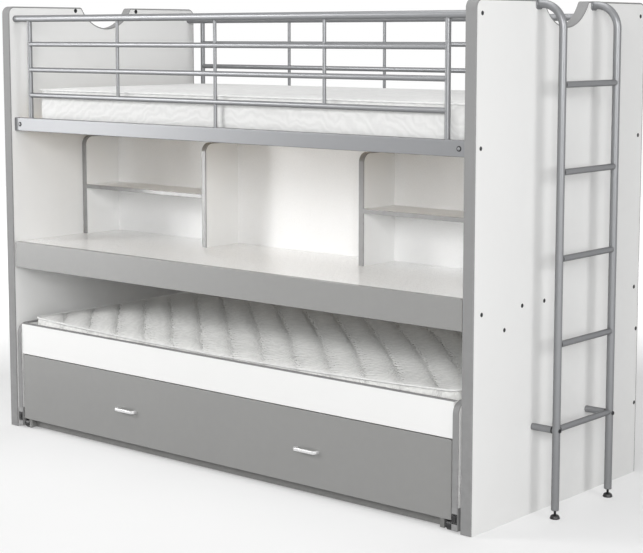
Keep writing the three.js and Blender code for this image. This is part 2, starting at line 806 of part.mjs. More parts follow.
const castorRows = [['front', 0], ['rear', rollDepth - housingSize]];
for (const [side, x] of [['left', rollLeft], ['right', rollInnerRight]]) {
  for (const [end, y] of castorRows) {
    const housing = piece(`${side}_${end}_castor_housing`, housingGeometry(end === 'front'), greyPlastic);
    housing.position.set(x, y, 0);
    const wheel = piece(`${side}_${end}_castor_wheel`, wheelGeometry(rollWheelRadius, rollWheelWidth), blackPlastic);
    wheel.position.set(x + rollBoardThickness / 2, y + housingSize / 2, rollAxleHeight);
  }
  const lever = piece(`${side}_brake_lever`, leverGeometry(), blackPlastic);
  lever.position.set(x + (rollBoardThickness - leverWidth) / 2, leverPinDepth, leverPinLevel);
}

// Drawer bed: a tall front, sides that carry the wheels, a back, a base with a lip, and a mattress
const drawerFrontTop = rollTop - rollFrontHeight - drawerTopGap;
board(
  'drawer_front',
  [rollInnerLeft + drawerEndGap, rollFrontSetback, drawerFrontBottom],
  [rollInnerRight - drawerEndGap, drawerInnerFront, drawerFrontTop], greyBoard,
);
const drawerSideTop = rollBottom + drawerSideHeight;
const drawerSideShape = [
  new THREE.Vector2(drawerInnerFront - drawerToe, rollBottom),
  new THREE.Vector2(drawerBack, rollBottom),
  new THREE.Vector2(drawerBack, drawerSideTop),
  new THREE.Vector2(drawerInnerFront, drawerSideTop),
  new THREE.Vector2(drawerInnerFront, drawerFrontBottom - fitGap),
  new THREE.Vector2(drawerInnerFront - drawerToe, drawerFrontBottom - fitGap),
];
const drawerAxleHeight = drawerWheelRadius + floorGap;
const drawerWheelRear = drawerBack - drawerWheelInset;
const drawerWheelGap = (drawerSideInset - drawerWheelWidth) / 2;
function drawerSideGeometry(outward) {
  const outerFace = outward > 0 ? drawerSideThickness : 0;
  const axleEnd = outerFace + outward * (drawerSideInset - drawerWheelGap + fitGap);
  const axles = [drawerWheelFront, drawerWheelRear].map((y) => rod(
    [drawerSideThickness / 2, y, drawerAxleHeight], [axleEnd, y, drawerAxleHeight], axleRadius, pinSides,
  ));
  return geometryOf(joined([thicken(drawerSideShape, 'x', drawerSideThickness), ...axles]));
}
for (const [side, x, outward] of [['left', drawerSideLeft, -1], ['right', drawerSideRight, 1]]) {
  piece(`drawer_${side}_side`, drawerSideGeometry(outward), whiteBoard).position.x = x;
  const outerFace = outward > 0 ? x + drawerSideThickness : x;
  for (const [end, y] of [['front', drawerWheelFront], ['rear', drawerWheelRear]]) {
    const wheel = piece(
      `drawer_${side}_${end}_wheel`, wheelGeometry(drawerWheelRadius, drawerWheelWidth), blackPlastic,
    );
    wheel.position.set(outerFace + (outward * drawerSideInset) / 2, y, drawerAxleHeight);
  }
}
const drawerInnerLeft = drawerSideLeft + drawerSideThickness;
const drawerInnerBack = drawerBack - drawerSideThickness;
board('drawer_back', [drawerInnerLeft, drawerInnerBack, rollBottom], [drawerSideRight, drawerBack, drawerSideTop], whiteBoard);
const drawerBaseUnderside = drawerBaseTop - drawerBaseThickness;
const drawerBaseShape = [
  new THREE.Vector2(drawerInnerFront, rollBottom),
  new THREE.Vector2(drawerInnerFront + drawerLipDepth, rollBottom),
  new THREE.Vector2(drawerInnerFront + drawerLipDepth, drawerBaseUnderside),
  new THREE.Vector2(drawerInnerBack, drawerBaseUnderside),
  new THREE.Vector2(drawerInnerBack, drawerBaseTop),
  new THREE.Vector2(drawerInnerFront, drawerBaseTop),
];
const drawerInnerLength = drawerSideRight - drawerInnerLeft;
const drawerBase = piece('drawer_base', thicken(drawerBaseShape, 'x', drawerInnerLength), whiteBoard);
drawerBase.position.x = drawerInnerLeft;
const drawerMattressLow = [
  drawerInnerLeft + drawerMattressGap, drawerInnerFront + drawerMattressGap, drawerBaseTop + fitGap,
];
mattress('drawer_mattress', drawerMattressLow, {
  length: drawerInnerLength - 2 * drawerMattressGap,
  width: drawerInnerBack - drawerInnerFront - 2 * drawerMattressGap,
  height: drawerMattressHeight, crown: drawerMattressCrown, dip: 0,
  columnStep: plainStep, columnOffset: 0, rowStep: plainStep, quilt: 0,
});

// Bow handles on the drawer front
function handleGeometry() {
  const half = handleLength / 2;
  const inside = handleRadius - handleThickness;
  const legs = (reach, radius, depth) => [
    new THREE.Vector2(-reach, 0),
    ...arc(radius - reach, radius - depth, radius, 2, 3, cornerSteps),
    ...arc(reach - radius, radius - depth, radius, 3, 4, cornerSteps),
    new THREE.Vector2(reach, 0),
  ];
  const outer = legs(half, handleRadius, handleProud);
  const inner = legs(half - handleThickness, inside, handleProud - handleThickness);
  return thicken([...outer, ...inner.reverse()], 'z', handleHeight);
}
const bedMiddle = (leftFace + rightFace) / 2;
for (const [side, offset] of [['left', -handleOffset], ['right', handleOffset]]) {
  const handle = piece(`${side}_drawer_handle`, handleGeometry(), silverSteel);
  handle.position.set(bedMiddle + offset, rollFrontSetback, handleLevel - handleHeight / 2);
}

// The origin goes to the middle of the whole bed's box, on the floor
const farEnd = overallLength + ladderStandoff + footRadius;
const nearFront = rollFrontSetback - handleProud;
bed.position.set(-farEnd / 2, -(nearFront + panelDepth) / 2, 0);

export default bed;
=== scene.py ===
# %% [markdown]
# # A triple bunk bed in Blender
# The bed has a high berth between two tall end panels, a desk with a hutch of shelves under it, a low bed
# on castors that stands under the desk, and a drawer with a third mattress in the low bed's front.
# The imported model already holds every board, tube and wheel at its real size. Here each of them gets its
# finished surface: eased edges, edge bands, weld beads, quilting and the materials.
# The first step loads that model, because every later measure comes from it.

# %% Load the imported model
import math

import bmesh
import bpy
import numpy as np
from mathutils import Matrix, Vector


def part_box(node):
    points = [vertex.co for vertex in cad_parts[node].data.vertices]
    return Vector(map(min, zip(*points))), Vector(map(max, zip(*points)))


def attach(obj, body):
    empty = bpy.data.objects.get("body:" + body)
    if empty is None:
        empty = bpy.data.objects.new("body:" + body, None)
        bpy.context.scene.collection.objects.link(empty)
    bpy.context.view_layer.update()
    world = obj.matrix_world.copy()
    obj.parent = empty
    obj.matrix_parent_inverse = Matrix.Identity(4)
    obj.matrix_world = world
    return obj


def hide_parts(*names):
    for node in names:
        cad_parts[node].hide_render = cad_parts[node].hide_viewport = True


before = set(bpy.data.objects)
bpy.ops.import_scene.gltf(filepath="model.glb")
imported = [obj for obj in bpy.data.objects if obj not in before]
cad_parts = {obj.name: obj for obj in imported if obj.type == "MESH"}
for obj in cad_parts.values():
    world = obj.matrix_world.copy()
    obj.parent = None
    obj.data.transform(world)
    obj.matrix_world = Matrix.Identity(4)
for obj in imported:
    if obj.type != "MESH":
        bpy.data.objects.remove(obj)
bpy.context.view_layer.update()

scene = bpy.context.scene

# %% [markdown]
# ## Measures in millimetres
# A joiner measures furniture in millimetres from one corner. The corner used here is the front foot of the
# left end panel, so a place reads as: along the bed, back from the panels' front edges, up from the floor.
# Metres could be used all through, but board thicknesses and screw heads are easier to read this way.

# %% Millimetres from the left panel's front foot
MM = 0.001
CORNER = Vector((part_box("left_end_panel")[0].x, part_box("left_panel_edging")[0].y, 0))


def span(node):
    """A node's lowest and highest corners, in millimetres from the corner."""
    low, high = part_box(node)
    return (low - CORNER) / MM, (high - CORNER) / MM


panel_low, panel_high = span("right_panel_edging")
bed_length = panel_high.x
panel_depth = panel_high.y
panel_height = panel_high.z
panel_thickness = panel_high.x - panel_low.x
print("bed length, depth, height:", [round(v) for v in (bed_length, panel_depth, panel_height)])

# %% [markdown]
# ## The camera
# The photograph was taken from the front right at eye height with a long lens. A shifted lens keeps
# upright edges parallel. Turning the camera down a little needs much less shift, and makes upright edges
# lean only slightly.

# %% Camera
CAMERA_PLACE = Vector((4902.0, -3871.5, 1505.5))
CAMERA_PITCH = 6.732
CAMERA_YAW = 40.562
CAMERA_LENS = 90.18
CAMERA_SHIFT = -0.08

camera_data = bpy.data.cameras.new("camera")
camera_data.lens = CAMERA_LENS
camera_data.sensor_width = 36
camera_data.shift_y = CAMERA_SHIFT
camera = bpy.data.objects.new("camera", camera_data)
camera.location = CORNER + CAMERA_PLACE * MM
camera.rotation_euler = (math.radians(90 - CAMERA_PITCH), 0, math.radians(CAMERA_YAW))
scene.collection.objects.link(camera)
scene.camera = camera
print("camera at", [round(v, 3) for v in camera.location])

# %% [markdown]
# ## Helpers for shader nodes
# Materials are small networks of nodes. One helper adds a node and fills its inputs, either with a value
# or with another node's output, and one starts a node group with named inputs and outputs. An effect
# that several materials use is such a group, built once.

# %% Shader node helpers
def fill(tree, node, inputs):
    """Puts a value or a link into each of a node's inputs."""
    for key, value in inputs.items():
        if isinstance(value, bpy.types.NodeSocket):
            tree.links.new(value, node.inputs[key])
        else:
            node.inputs[key].default_value = value


def add(tree, kind, inputs, **settings):
    """A new shader node with its settings and inputs."""
    made = tree.nodes.new("ShaderNode" + kind)
    for key, value in settings.items():
        setattr(made, key, value)
    fill(tree, made, inputs)
    return made


def own_place(tree):
    """The place on a piece in the piece's own space."""
    return add(tree, "TexCoord", {}).outputs["Object"]


def calc(tree, operation, *values):
    return add(tree, "Math", dict(enumerate(values)), operation=operation).outputs[0]


def scaled(tree, vector, factor):
    return add(tree, "VectorMath", {0: vector, "Scale": factor}, operation="SCALE").outputs[0]


def ramp(tree, value, low=0.0, high=1.0, start=0.0, end=1.0):
    """A value moved from one range to another."""
    limits = {"From Min": low, "From Max": high, "To Min": start, "To Max": end}
    return add(tree, "MapRange", {"Value": value, **limits}).outputs[0]


def noise(tree, place, scale, detail, roughness=0.5):
    inputs = {"Vector": place, "Scale": scale, "Detail": detail, "Roughness": roughness}
    return add(tree, "TexNoise", inputs).outputs["Fac"]


def start_group(name, inputs, outputs):
    """A new node group, the values given to it, and the node that takes its results."""
    group = bpy.data.node_groups.new(name, "ShaderNodeTree")
    for label, kind, default in inputs:
        socket = group.interface.new_socket(label, in_out="INPUT", socket_type="NodeSocket" + kind)
        socket.default_value = default
    for label, kind in outputs:
        group.interface.new_socket(label, in_out="OUTPUT", socket_type="NodeSocket" + kind)
    return group, group.nodes.new("NodeGroupInput").outputs, group.nodes.new("NodeGroupOutput")


# %% [markdown]
# ## Shared effects
# Five effects make the surfaces look made rather than computed. Tone drift is the slow change of colour over
# a large board. Fine relief is the small bumps of laminate, paint or plastic, stretched along the grain for
# wood. Edge wear and highlight is the paler line along every convex edge: partly wear where hands touch it,
# partly a painted highlight on the eased edge. Knit is the cloth of the mattress covers, with its raised leaf
# pattern and painted shade between the leaves. Wrinkles are the small folds between quilted channels.

# %% Tone drift
def build_tone_drift():
    group, given, end = start_group(
        "tone drift",
        [("Colour", "Color", (0.5, 0.5, 0.5, 1)), ("Scale", "Float", 4.0), ("Amount", "Float", 0.04)],
        [("Colour", "Color")],
    )
    cloud = noise(group, own_place(group), given["Scale"], 4.0, 0.55)
    doubled = calc(group, "MULTIPLY", calc(group, "SUBTRACT", cloud, 0.5), 2.0)
    factor = calc(group, "MULTIPLY_ADD", doubled, given["Amount"], 1.0)
    fill(group, end, {"Colour": scaled(group, given["Colour"], factor)})
    return group


# %% Fine relief
def build_fine_relief():
    group, given, end = start_group(
        "fine relief",
        [("Stretch", "Vector", (1, 1, 1)), ("Scale", "Float", 400.0), ("Roughness", "Float", 0.5),
         ("Spread", "Float", 0.05)],
        [("Height", "Float"), ("Roughness", "Float")],
    )
    stretched = add(group, "VectorMath", {0: own_place(group), 1: given["Stretch"]},
                    operation="MULTIPLY").outputs[0]
    grain = noise(group, stretched, given["Scale"], 3.0, 0.6)
    waves = noise(group, stretched, calc(group, "MULTIPLY", given["Scale"], 0.08), 2.0)
    centred = calc(group, "SUBTRACT", grain, 0.5)
    fill(group, end, {
        "Height": calc(group, "MULTIPLY_ADD", waves, 0.6, grain),
        "Roughness": calc(group, "MULTIPLY_ADD", centred, given["Spread"], given["Roughness"]),
    })
    return group


# %% Edge wear and painted highlight
def build_edge_wear_and_highlight():
    group, given, end = start_group(
        "edge wear and highlight",
        [("Colour", "Color", (0.5, 0.5, 0.5, 1)), ("Edge colour", "Color", (0.7, 0.7, 0.7, 1)),
         ("Amount", "Float", 0.5)],
        [("Colour", "Color")],
    )
    # Paler colour on convex edges: partly wear where hands touch, partly a painted highlight.
    edge = ramp(group, add(group, "NewGeometry", {}).outputs["Pointiness"], 0.52, 0.60)
    broken = ramp(group, noise(group, own_place(group), 35.0, 5.0), 0.4, 0.65)
    strength = calc(group, "MULTIPLY", calc(group, "MULTIPLY", edge, broken), given["Amount"])
    mixed = add(group, "Mix", {0: strength, 6: given["Colour"], 7: given["Edge colour"]}, data_type="RGBA")
    fill(group, end, {"Colour": mixed.outputs[2]})
    return group


# %% Knit with a raised leaf pattern
def build_knit():
    group, given, end = start_group(
        "knit",
        [("Stitches", "Float", 700.0), ("Leaves", "Float", 11.0), ("Leaf height", "Float", 0.6)],
        [("Height", "Float"), ("Painted shade", "Float")],
    )
    place = own_place(group)
    apart = add(group, "SeparateXYZ", {0: scaled(group, place, given["Stitches"])}).outputs
    ripples = [calc(group, "SINE", apart[axis]) for axis in range(3)]
    loops = calc(group, "ADD", calc(group, "ADD", ripples[0], ripples[1]), ripples[2])
    leaves = add(group, "TexWave", {
        "Vector": place, "Scale": given["Leaves"], "Distortion": 11.0,
        "Detail": 2.0, "Detail Scale": 1.4, "Detail Roughness": 0.5,
    }, wave_type="RINGS", rings_direction="SPHERICAL").outputs["Fac"]
    raised = calc(group, "MULTIPLY", leaves, given["Leaf height"])
    # The colour is darker where the leaves are low: painted shade in the hollows of their relief.
    fill(group, end, {
        "Height": calc(group, "MULTIPLY_ADD", loops, 0.08, raised),
        "Painted shade": ramp(group, leaves, start=0.93),
    })
    return group


# %% Wrinkles between quilted channels
def build_wrinkles():
    group, given, end = start_group(
        "quilting wrinkles",
        [("Origin", "Vector", (0, 0, 0)), ("Pitch", "Float", 0.147), ("Slope", "Float", 0.95),
         ("Waves", "Float", 330.0), ("Bend", "Float", 0.16)],
        [("Height", "Float")],
    )
    place = own_place(group)
    wander = noise(group, place, 38.0, 2.0)
    local = add(group, "VectorMath", {0: place, 1: given["Origin"]}, operation="SUBTRACT").outputs[0]
    apart = add(group, "SeparateXYZ", {0: local}).outputs
    slanted = calc(group, "DIVIDE", apart["Y"], given["Slope"])
    phase = calc(group, "DIVIDE", calc(group, "ADD", apart["X"], slanted), given["Pitch"])
    centred = calc(group, "SUBTRACT", calc(group, "FRACT", phase), 0.5)
    squared = calc(group, "MULTIPLY", centred, centred)
    back = calc(group, "MULTIPLY", apart["Y"], -1.0)
    along = calc(group, "MULTIPLY_ADD", apart["X"], given["Slope"], back)
    bent = calc(group, "MULTIPLY_ADD", squared, given["Bend"], along)
    shifted = calc(group, "MULTIPLY_ADD", wander, 0.03, bent)
    wave = calc(group, "SINE", calc(group, "MULTIPLY", shifted, given["Waves"]))
    strength = ramp(group, squared, high=0.25, start=0.25)
    fill(group, end, {"Height": calc(group, "MULTIPLY", wave, strength)})
    return group


TONE_DRIFT = build_tone_drift()
FINE_RELIEF = build_fine_relief()
EDGE_WEAR_AND_HIGHLIGHT = build_edge_wear_and_highlight()
KNIT = build_knit()
WRINKLES = build_wrinkles()
print("shared effects:", [group.name for group in bpy.data.node_groups])


# %% [markdown]
# ## Finishes
# Most of the bed is melamine laminate, which is a smooth, faintly pebbled skin on a board. The tubes are
# steel with a silver powder coat, the feet, wheels and levers are black moulded plastic, the castor housings
# grey plastic, and the slats birch. All but the birch follow one recipe: a colour that drifts, edges that are
# paler from wear and from a painted highlight, and a fine relief that feeds the bump. What is the same all
# over sits on the shader itself.

# %% A coated surface
def start_material(name, slot):
    """A new material with the record's finish that it stands for, its tree and its shader."""
    material = bpy.data.materials.new(name)
    material["slot"] = slot
    material.use_nodes = True
    return material, material.node_tree, material.node_tree.nodes["Principled BSDF"]


def effect(tree, group, inputs):
    """The results of a shared effect."""
    return add(tree, "Group", inputs, node_tree=group).outputs


def bumped(tree, height, strength, depth):
    """The normal of a surface with a relief."""
    return add(tree, "Bump", {"Strength": strength, "Distance": depth, "Height": height}).outputs["Normal"]


def coated_finish(name, colour, edge_colour, roughness, metallic=0.0, coat=0.0, grain=400.0, relief=0.15,
                  depth=0.0002, drift=0.03, wear_and_highlight=0.5, shine=0.5, rim=1.0, slot=None):
    """A laminate, paint or plastic finish from the shared effects."""
    material, tree, shader = start_material(name, slot or name)
    toned = effect(tree, TONE_DRIFT, {"Colour": (*colour, 1), "Scale": 3.0, "Amount": drift})
    edge_worn_and_lit = effect(tree, EDGE_WEAR_AND_HIGHLIGHT, {"Colour": toned["Colour"], "Edge colour": (*edge_colour, 1), "Amount": wear_and_highlight})
    surface = effect(tree, FINE_RELIEF, {"Scale": grain, "Roughness": roughness, "Spread": 0.12})
    fill(tree, shader, {
        "Base Color": edge_worn_and_lit["Colour"], "Roughness": surface["Roughness"],
        "Normal": bumped(tree, surface["Height"], relief, depth),
        "Metallic": metallic, "Coat Weight": coat, "Coat Roughness": 0.25,
        "Specular IOR Level": shine, "Specular Tint": (rim, rim, rim, 1),
    })
    return material


WHITE = coated_finish("white_laminate", (0.88, 0.88, 0.872), (0.90, 0.90, 0.89), 0.45, drift=0.015,
                      shine=0.35)
# The desk laminate is the white laminate with a clear coat and a lighter colour. The lighter colour is
# painted light on the desk and the hutch's back, which lie in shade under the high bed.
PAINTED_LIGHT_DESK = coated_finish("desk_laminate_painted_light", (0.93, 0.93, 0.925), (0.94, 0.94, 0.94), 0.28, coat=0.3, drift=0.01,
                     slot="white_laminate")
GREY = coated_finish("grey_laminate", (0.263, 0.262, 0.256), (0.32, 0.32, 0.313), 0.36, coat=0.35)
EDGING = coated_finish("grey_edging", (0.26, 0.26, 0.26), (0.33, 0.33, 0.33), 0.60, grain=250.0, shine=0.35)
# A darker copy of the grey laminate: painted shade for the parts under the drawer front.
PAINTED_SHADE_GREY = coated_finish("painted_shade_grey", (0.17, 0.17, 0.165), (0.22, 0.22, 0.215), 0.5, slot="grey_laminate")
TRIM = coated_finish("hutch_edging", (0.30, 0.30, 0.30), (0.38, 0.38, 0.38), 0.22, grain=250.0, coat=0.6,
                     relief=0.03, slot="grey_edging")
STEEL = coated_finish("silver_steel", (0.25, 0.254, 0.262), (0.32, 0.325, 0.335), 0.34, metallic=0.5,
                      grain=900.0, relief=0.04, depth=0.0001, drift=0.01, wear_and_highlight=0.1, rim=0.25)
BRIGHT = coated_finish("bright_steel", (0.72, 0.72, 0.72), (0.80, 0.80, 0.80), 0.28, metallic=0.5,
                       grain=900.0, relief=0.04, wear_and_highlight=0.1, slot="silver_steel")
BOLT = coated_finish("bolt_steel", (0.02, 0.02, 0.022), (0.06, 0.06, 0.065), 0.45, grain=1500.0, shine=0.2,
                     slot="silver_steel")
BLACK = coated_finish("black_plastic", (0.012, 0.012, 0.013), (0.06, 0.06, 0.06), 0.38, grain=700.0,
                      relief=0.3)
HOUSING = coated_finish("grey_plastic", (0.27, 0.27, 0.27), (0.38, 0.38, 0.38), 0.45, grain=600.0,
                        relief=0.3)
print("coated finishes:", [material.name for material in bpy.data.materials])


# %% [markdown]
# Birch needs a grain that runs along each slat, so its relief is stretched along the slat and the same noise
# tints the colour. Mattress cover is cloth: the knit group gives its loops, its leaves and painted shade
# between the leaves, and a little sheen gives the soft edge that fibres have.

# %% Birch
def birch_finish():
    material, tree, shader = start_material("slat_wood", "slat_wood")
    grain = effect(tree, FINE_RELIEF, {
        "Stretch": (1, 0.04, 1), "Scale": 260.0, "Roughness": 0.55, "Spread": 0.2,
    })
    pale = effect(tree, TONE_DRIFT, {"Colour": (0.66, 0.52, 0.34, 1), "Scale": 9.0, "Amount": 0.12})
    streak = ramp(tree, grain["Height"], 0.6, 1.0, 0.82, 1.0)
    fill(tree, shader, {
        "Base Color": scaled(tree, pale["Colour"], streak), "Roughness": grain["Roughness"],
        "Normal": bumped(tree, grain["Height"], 0.25, 0.0003),
    })
    return material


# %% Mattress cover
WRINKLE_SHARE = 3.4


def cover_finish(name, colour, leaf_height, depth, quilt_origin=None):
    material, tree, shader = start_material(name, "mattress_ticking")
    knit = effect(tree, KNIT, {"Leaf height": leaf_height})
    toned = effect(tree, TONE_DRIFT, {"Colour": (*colour, 1), "Scale": 6.0, "Amount": 0.03})
    height = knit["Height"]
    if quilt_origin is not None:
        wrinkles = effect(tree, WRINKLES, {"Origin": quilt_origin})
        height = calc(tree, "MULTIPLY_ADD", wrinkles["Height"], WRINKLE_SHARE, height)
    # The knit's painted shade darkens the cloth between its raised leaves.
    fill(tree, shader, {
        "Base Color": scaled(tree, toned["Colour"], knit["Painted shade"]),
        "Normal": bumped(tree, height, 0.6, depth),
        "Roughness": 0.85, "Sheen Weight": 0.25, "Sheen Roughness": 0.5,
    })
    return material


BIRCH = birch_finish()
COVER = cover_finish("mattress_ticking", (0.83, 0.83, 0.82), 0.7, 0.0012)
quilt_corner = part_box("roll_bed_mattress")[0]
QUILTED = cover_finish("quilted_ticking", (0.88, 0.88, 0.86), 0.5, 0.0016,
                       quilt_origin=(CORNER.x + 0.567, quilt_corner.y, 0))
PIPING = cover_finish("mattress_piping", (0.87, 0.87, 0.86), 0.0, 0.0004)
print("cloth and wood:", BIRCH.name, COVER.name, PIPING.name)


# %% [markdown]
# ## Helpers for meshes
# Every piece is drawn as rings of points that are joined into a skin. A board is rings of its outline,
# a tube is rings along a path, and a turned part is rings round an axis. Blender's own primitives would be
# quicker to place, but rings give eased edges exactly where a real piece has them.

# %% Rings and skins
TUBE_EASE = 0.6


def skin(bm, rings, finish=0, loop=False):
    """Joins rings of points into a skin, closed at its ends or round to its start."""
    rows = [[bm.verts.new(point) for point in points] for points in rings]
    count = len(rows[0])
    pairs = list(zip(rows, rows[1:]))
    if loop:
        pairs.append((rows[-1], rows[0]))
    for first, second in pairs:
        for i in range(count):
            j = (i + 1) % count
            bm.faces.new((first[i], first[j], second[j], second[i])).material_index = finish
    if not loop:
        for row in (rows[0][::-1], rows[-1]):
            bm.faces.new(row).material_index = finish


def ring(centre, radius, side, other, sides):
    """Points on a circle in the plane of two directions."""
    turns = [2 * math.pi * step / sides for step in range(sides)]
    return [centre + radius * (math.cos(t) * side + math.sin(t) * other) for t in turns]


def circle(centre, axis, radius, sides):
    """Points on a circle round an axis."""
    axis = Vector(axis).normalized()
    side = axis.orthogonal().normalized()
    return ring(Vector(centre), radius, side, axis.cross(side), sides)


def turned(bm, centre, axis, profile, sides, finish=0, loop=False):
    """A turned part: the profile lists radius and distance along the axis."""
    axis = Vector(axis).normalized()
    rings = [circle(Vector(centre) + axis * reach, axis, radius, sides) for radius, reach in profile]
    skin(bm, rings, finish, loop)


def tube(bm, path, radius, sides=28):
    """A round tube along a path, with eased ends. The rings turn with the path and never twist."""
    path = [Vector(point) for point in path]
    heading = (path[1] - path[0]).normalized()
    side = heading.orthogonal().normalized()
    rings = []
    last = len(path) - 1
    for index, point in enumerate(path):
        before = (point - path[index - 1]).normalized() if index else heading
        after = (path[index + 1] - point).normalized() if index < last else before
        along = (before + after).normalized()
        side = (side - along * side.dot(along)).normalized()
        stations = [(0, radius)]
        if index == 0:
            stations = [(0, radius - TUBE_EASE), (TUBE_EASE, radius)]
        elif index == last:
            stations = [(-TUBE_EASE, radius), (0, radius - TUBE_EASE)]
        for shift, reach in stations:
            rings.append(ring(point + along * shift, reach, side, along.cross(side), sides))
    skin(bm, rings)


# %% Outlines
def quarter(steps):
    """Angles from nought to a quarter turn."""
    return [math.pi / 2 * step / steps for step in range(steps + 1)]


def arc(centre_u, centre_v, radius, start, end, steps):
    """Points on an arc, with its ends in quarter turns."""
    turns = [(start + (end - start) * step / steps) * math.pi / 2 for step in range(steps + 1)]
    return [(centre_u + radius * math.cos(t), centre_v + radius * math.sin(t)) for t in turns]


def rounded(low, high, radii, steps=6):
    """A rectangle with its own radius at each corner: low left, low right, high right, high left."""
    corners = [
        (low[0], low[1], 1, 1, 2), (high[0], low[1], -1, 1, 3),
        (high[0], high[1], -1, -1, 0), (low[0], high[1], 1, -1, 1),
    ]
    points = []
    for (u, v, side_u, side_v, start), radius in zip(corners, radii):
        if radius > 0:
            points += arc(u + side_u * radius, v + side_v * radius, radius, start, start + 1, steps)
        else:
            points.append((u, v))
    return points


def distinct(points):
    """The outline without points that repeat the one before."""
    return [point for i, point in enumerate(points) if not i or math.dist(point, points[i - 1]) > 0.01]


def inset(points, distance, closed=True):
    """The outline moved to its left by a distance, which is inwards where it runs anticlockwise."""
    count = len(points)
    moved = []
    for i in range(count):
        here = Vector(points[i])
        before = Vector(points[i - 1]) if closed or i else None
        after = Vector(points[(i + 1) % count]) if closed or i < count - 1 else None
        normals = []
        for first, second in ((before, here), (here, after)):
            if first is not None and second is not None:
                run = (second - first).normalized()
                normals.append(Vector((-run.y, run.x)))
        if len(normals) == 2:
            share = distance / (1 + normals[0].dot(normals[1]))
            here = here + (normals[0] + normals[1]) * share
        else:
            here = here + normals[0] * distance
        moved.append((here.x, here.y))
    return moved


# %% Boards
AXES = {"x": (1, 2, 0), "y": (0, 2, 1), "z": (0, 1, 2)}


def lift(outline, axis, level):
    """An outline's points in space, at a level along the axis."""
    u_axis, v_axis, level_axis = AXES[axis]
    points = []
    for u, v in outline:
        point = Vector((0, 0, 0))
        point[u_axis], point[v_axis], point[level_axis] = u, v, level
        points.append(point)
    return points


def slab(bm, outline, axis, low, high, ease, steps=3):
    """A board: an outline thickened along an axis, with its edges eased."""
    rises = [(ease * (1 - math.cos(t)), ease * (1 - math.sin(t))) for t in quarter(steps)]
    levels = [(low + rise, draw) for rise, draw in rises]
    levels += [(high - rise, draw) for rise, draw in reversed(rises)]
    skin(bm, [lift(inset(outline, draw), axis, level) for level, draw in levels])


# %% [markdown]
# A finished mesh becomes a piece of the bed in one place: its points go from millimetres to the model's
# metres, its curved faces are shaded smooth and its flat faces keep their own normals, it is tied to the body
# it rides on, the nodes it stands for are hidden, and it takes its finishes, each of which carries its finish
# of the record.

# %% From mesh to piece
def make_piece(name, bm, finishes, body="root", nodes=(), sharp=38):
    bmesh.ops.recalc_face_normals(bm, faces=bm.faces)
    for vertex in bm.verts:
        vertex.co = CORNER + vertex.co * MM
    mesh = bpy.data.meshes.new(name)
    bm.to_mesh(mesh)
    bm.free()
    for finish in finishes:
        mesh.materials.append(finish)
    mesh.shade_smooth()
    mesh.set_sharp_from_angle(angle=math.radians(sharp))
    piece = bpy.data.objects.new(name, mesh)
    scene.collection.objects.link(piece)
    weighted = piece.modifiers.new("face normals", "WEIGHTED_NORMAL")
    weighted.keep_sharp = True
    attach(piece, body)
    if nodes:
        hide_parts(*nodes)
    return piece


def board_piece(name, node, outline, axis, low, high, ease, finish, body="root", steps=3):
    """A piece that is one board."""
    bm = bmesh.new()
    slab(bm, outline, axis, low, high, ease, steps)
    make_piece(name, bm, [finish], body, [node])


def plain_board(node, finish, body="root", ease=0.8):
    """An eased board that fills a node's box and lies across its thinnest side."""
    low, high = span(node)
    size = high - low
    axis = "xyz"[min(range(3), key=lambda i: size[i])]
    u_axis, v_axis, level_axis = AXES[axis]
    outline = rounded((low[u_axis], low[v_axis]), (high[u_axis], high[v_axis]), [ease * 1.4] * 4, 3)
    board_piece(f"{node}_finished", node, outline, axis, low[level_axis], high[level_axis], ease, finish,
                body)


SHARP_EDGE = math.radians(25)


def eased_copy(node, finish, body, ease):
    """A node's own shape with its edges bevelled, for shapes with slots and steps."""
    bm = bmesh.new()
    bm.from_mesh(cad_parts[node].data)
    for vertex in bm.verts:
        vertex.co = (vertex.co - CORNER) / MM
    bmesh.ops.remove_doubles(bm, verts=bm.verts, dist=0.01)
    bmesh.ops.dissolve_limit(bm, angle_limit=math.radians(1), verts=bm.verts, edges=bm.edges)
    edges = [
        edge for edge in bm.edges if len(edge.link_faces) == 2 and edge.calc_face_angle() > SHARP_EDGE
    ]
    bmesh.ops.bevel(bm, geom=edges, offset=ease, offset_type="OFFSET", segments=2, profile=0.5,
                    affect="EDGES", clamp_overlap=True)
    return make_piece(f"{node}_finished", bm, [finish], body, [node])


# %% [markdown]
# ## End panels
# Each end panel is a 40 mm board with a scallop in its top edge. A grey band with rounded edges runs up
# the front, over the top and down the rear. Seen from the side, the rounding shows as a thin grey line
# round the white face, so the band is swept along the outline with real roundings, and the board ends
# just inside it.

# %% Edge bands
BAND_DEPTH = 4.5
BAND_RADIUS = 3.5
BAND_GAP = 0.3
PANEL_CORNER = 28
SCALLOP_RADIUS = 143
SCALLOP_DEPTH = 80
SCALLOP_FILLET = 12


def edge_band(bm, path, axis, low, high, depth, radius, finish=0):
    """A band round an open outline. path runs with the board on its left."""
    profile = [(depth, low)]
    profile += [(radius - radius * math.sin(t), low + radius - radius * math.cos(t)) for t in quarter(4)]
    profile += [(draw, high + low - level) for draw, level in reversed(profile)]
    lines = [lift(inset(path, draw, closed=False), axis, level) for draw, level in profile]
    skin(bm, list(zip(*lines)), finish)


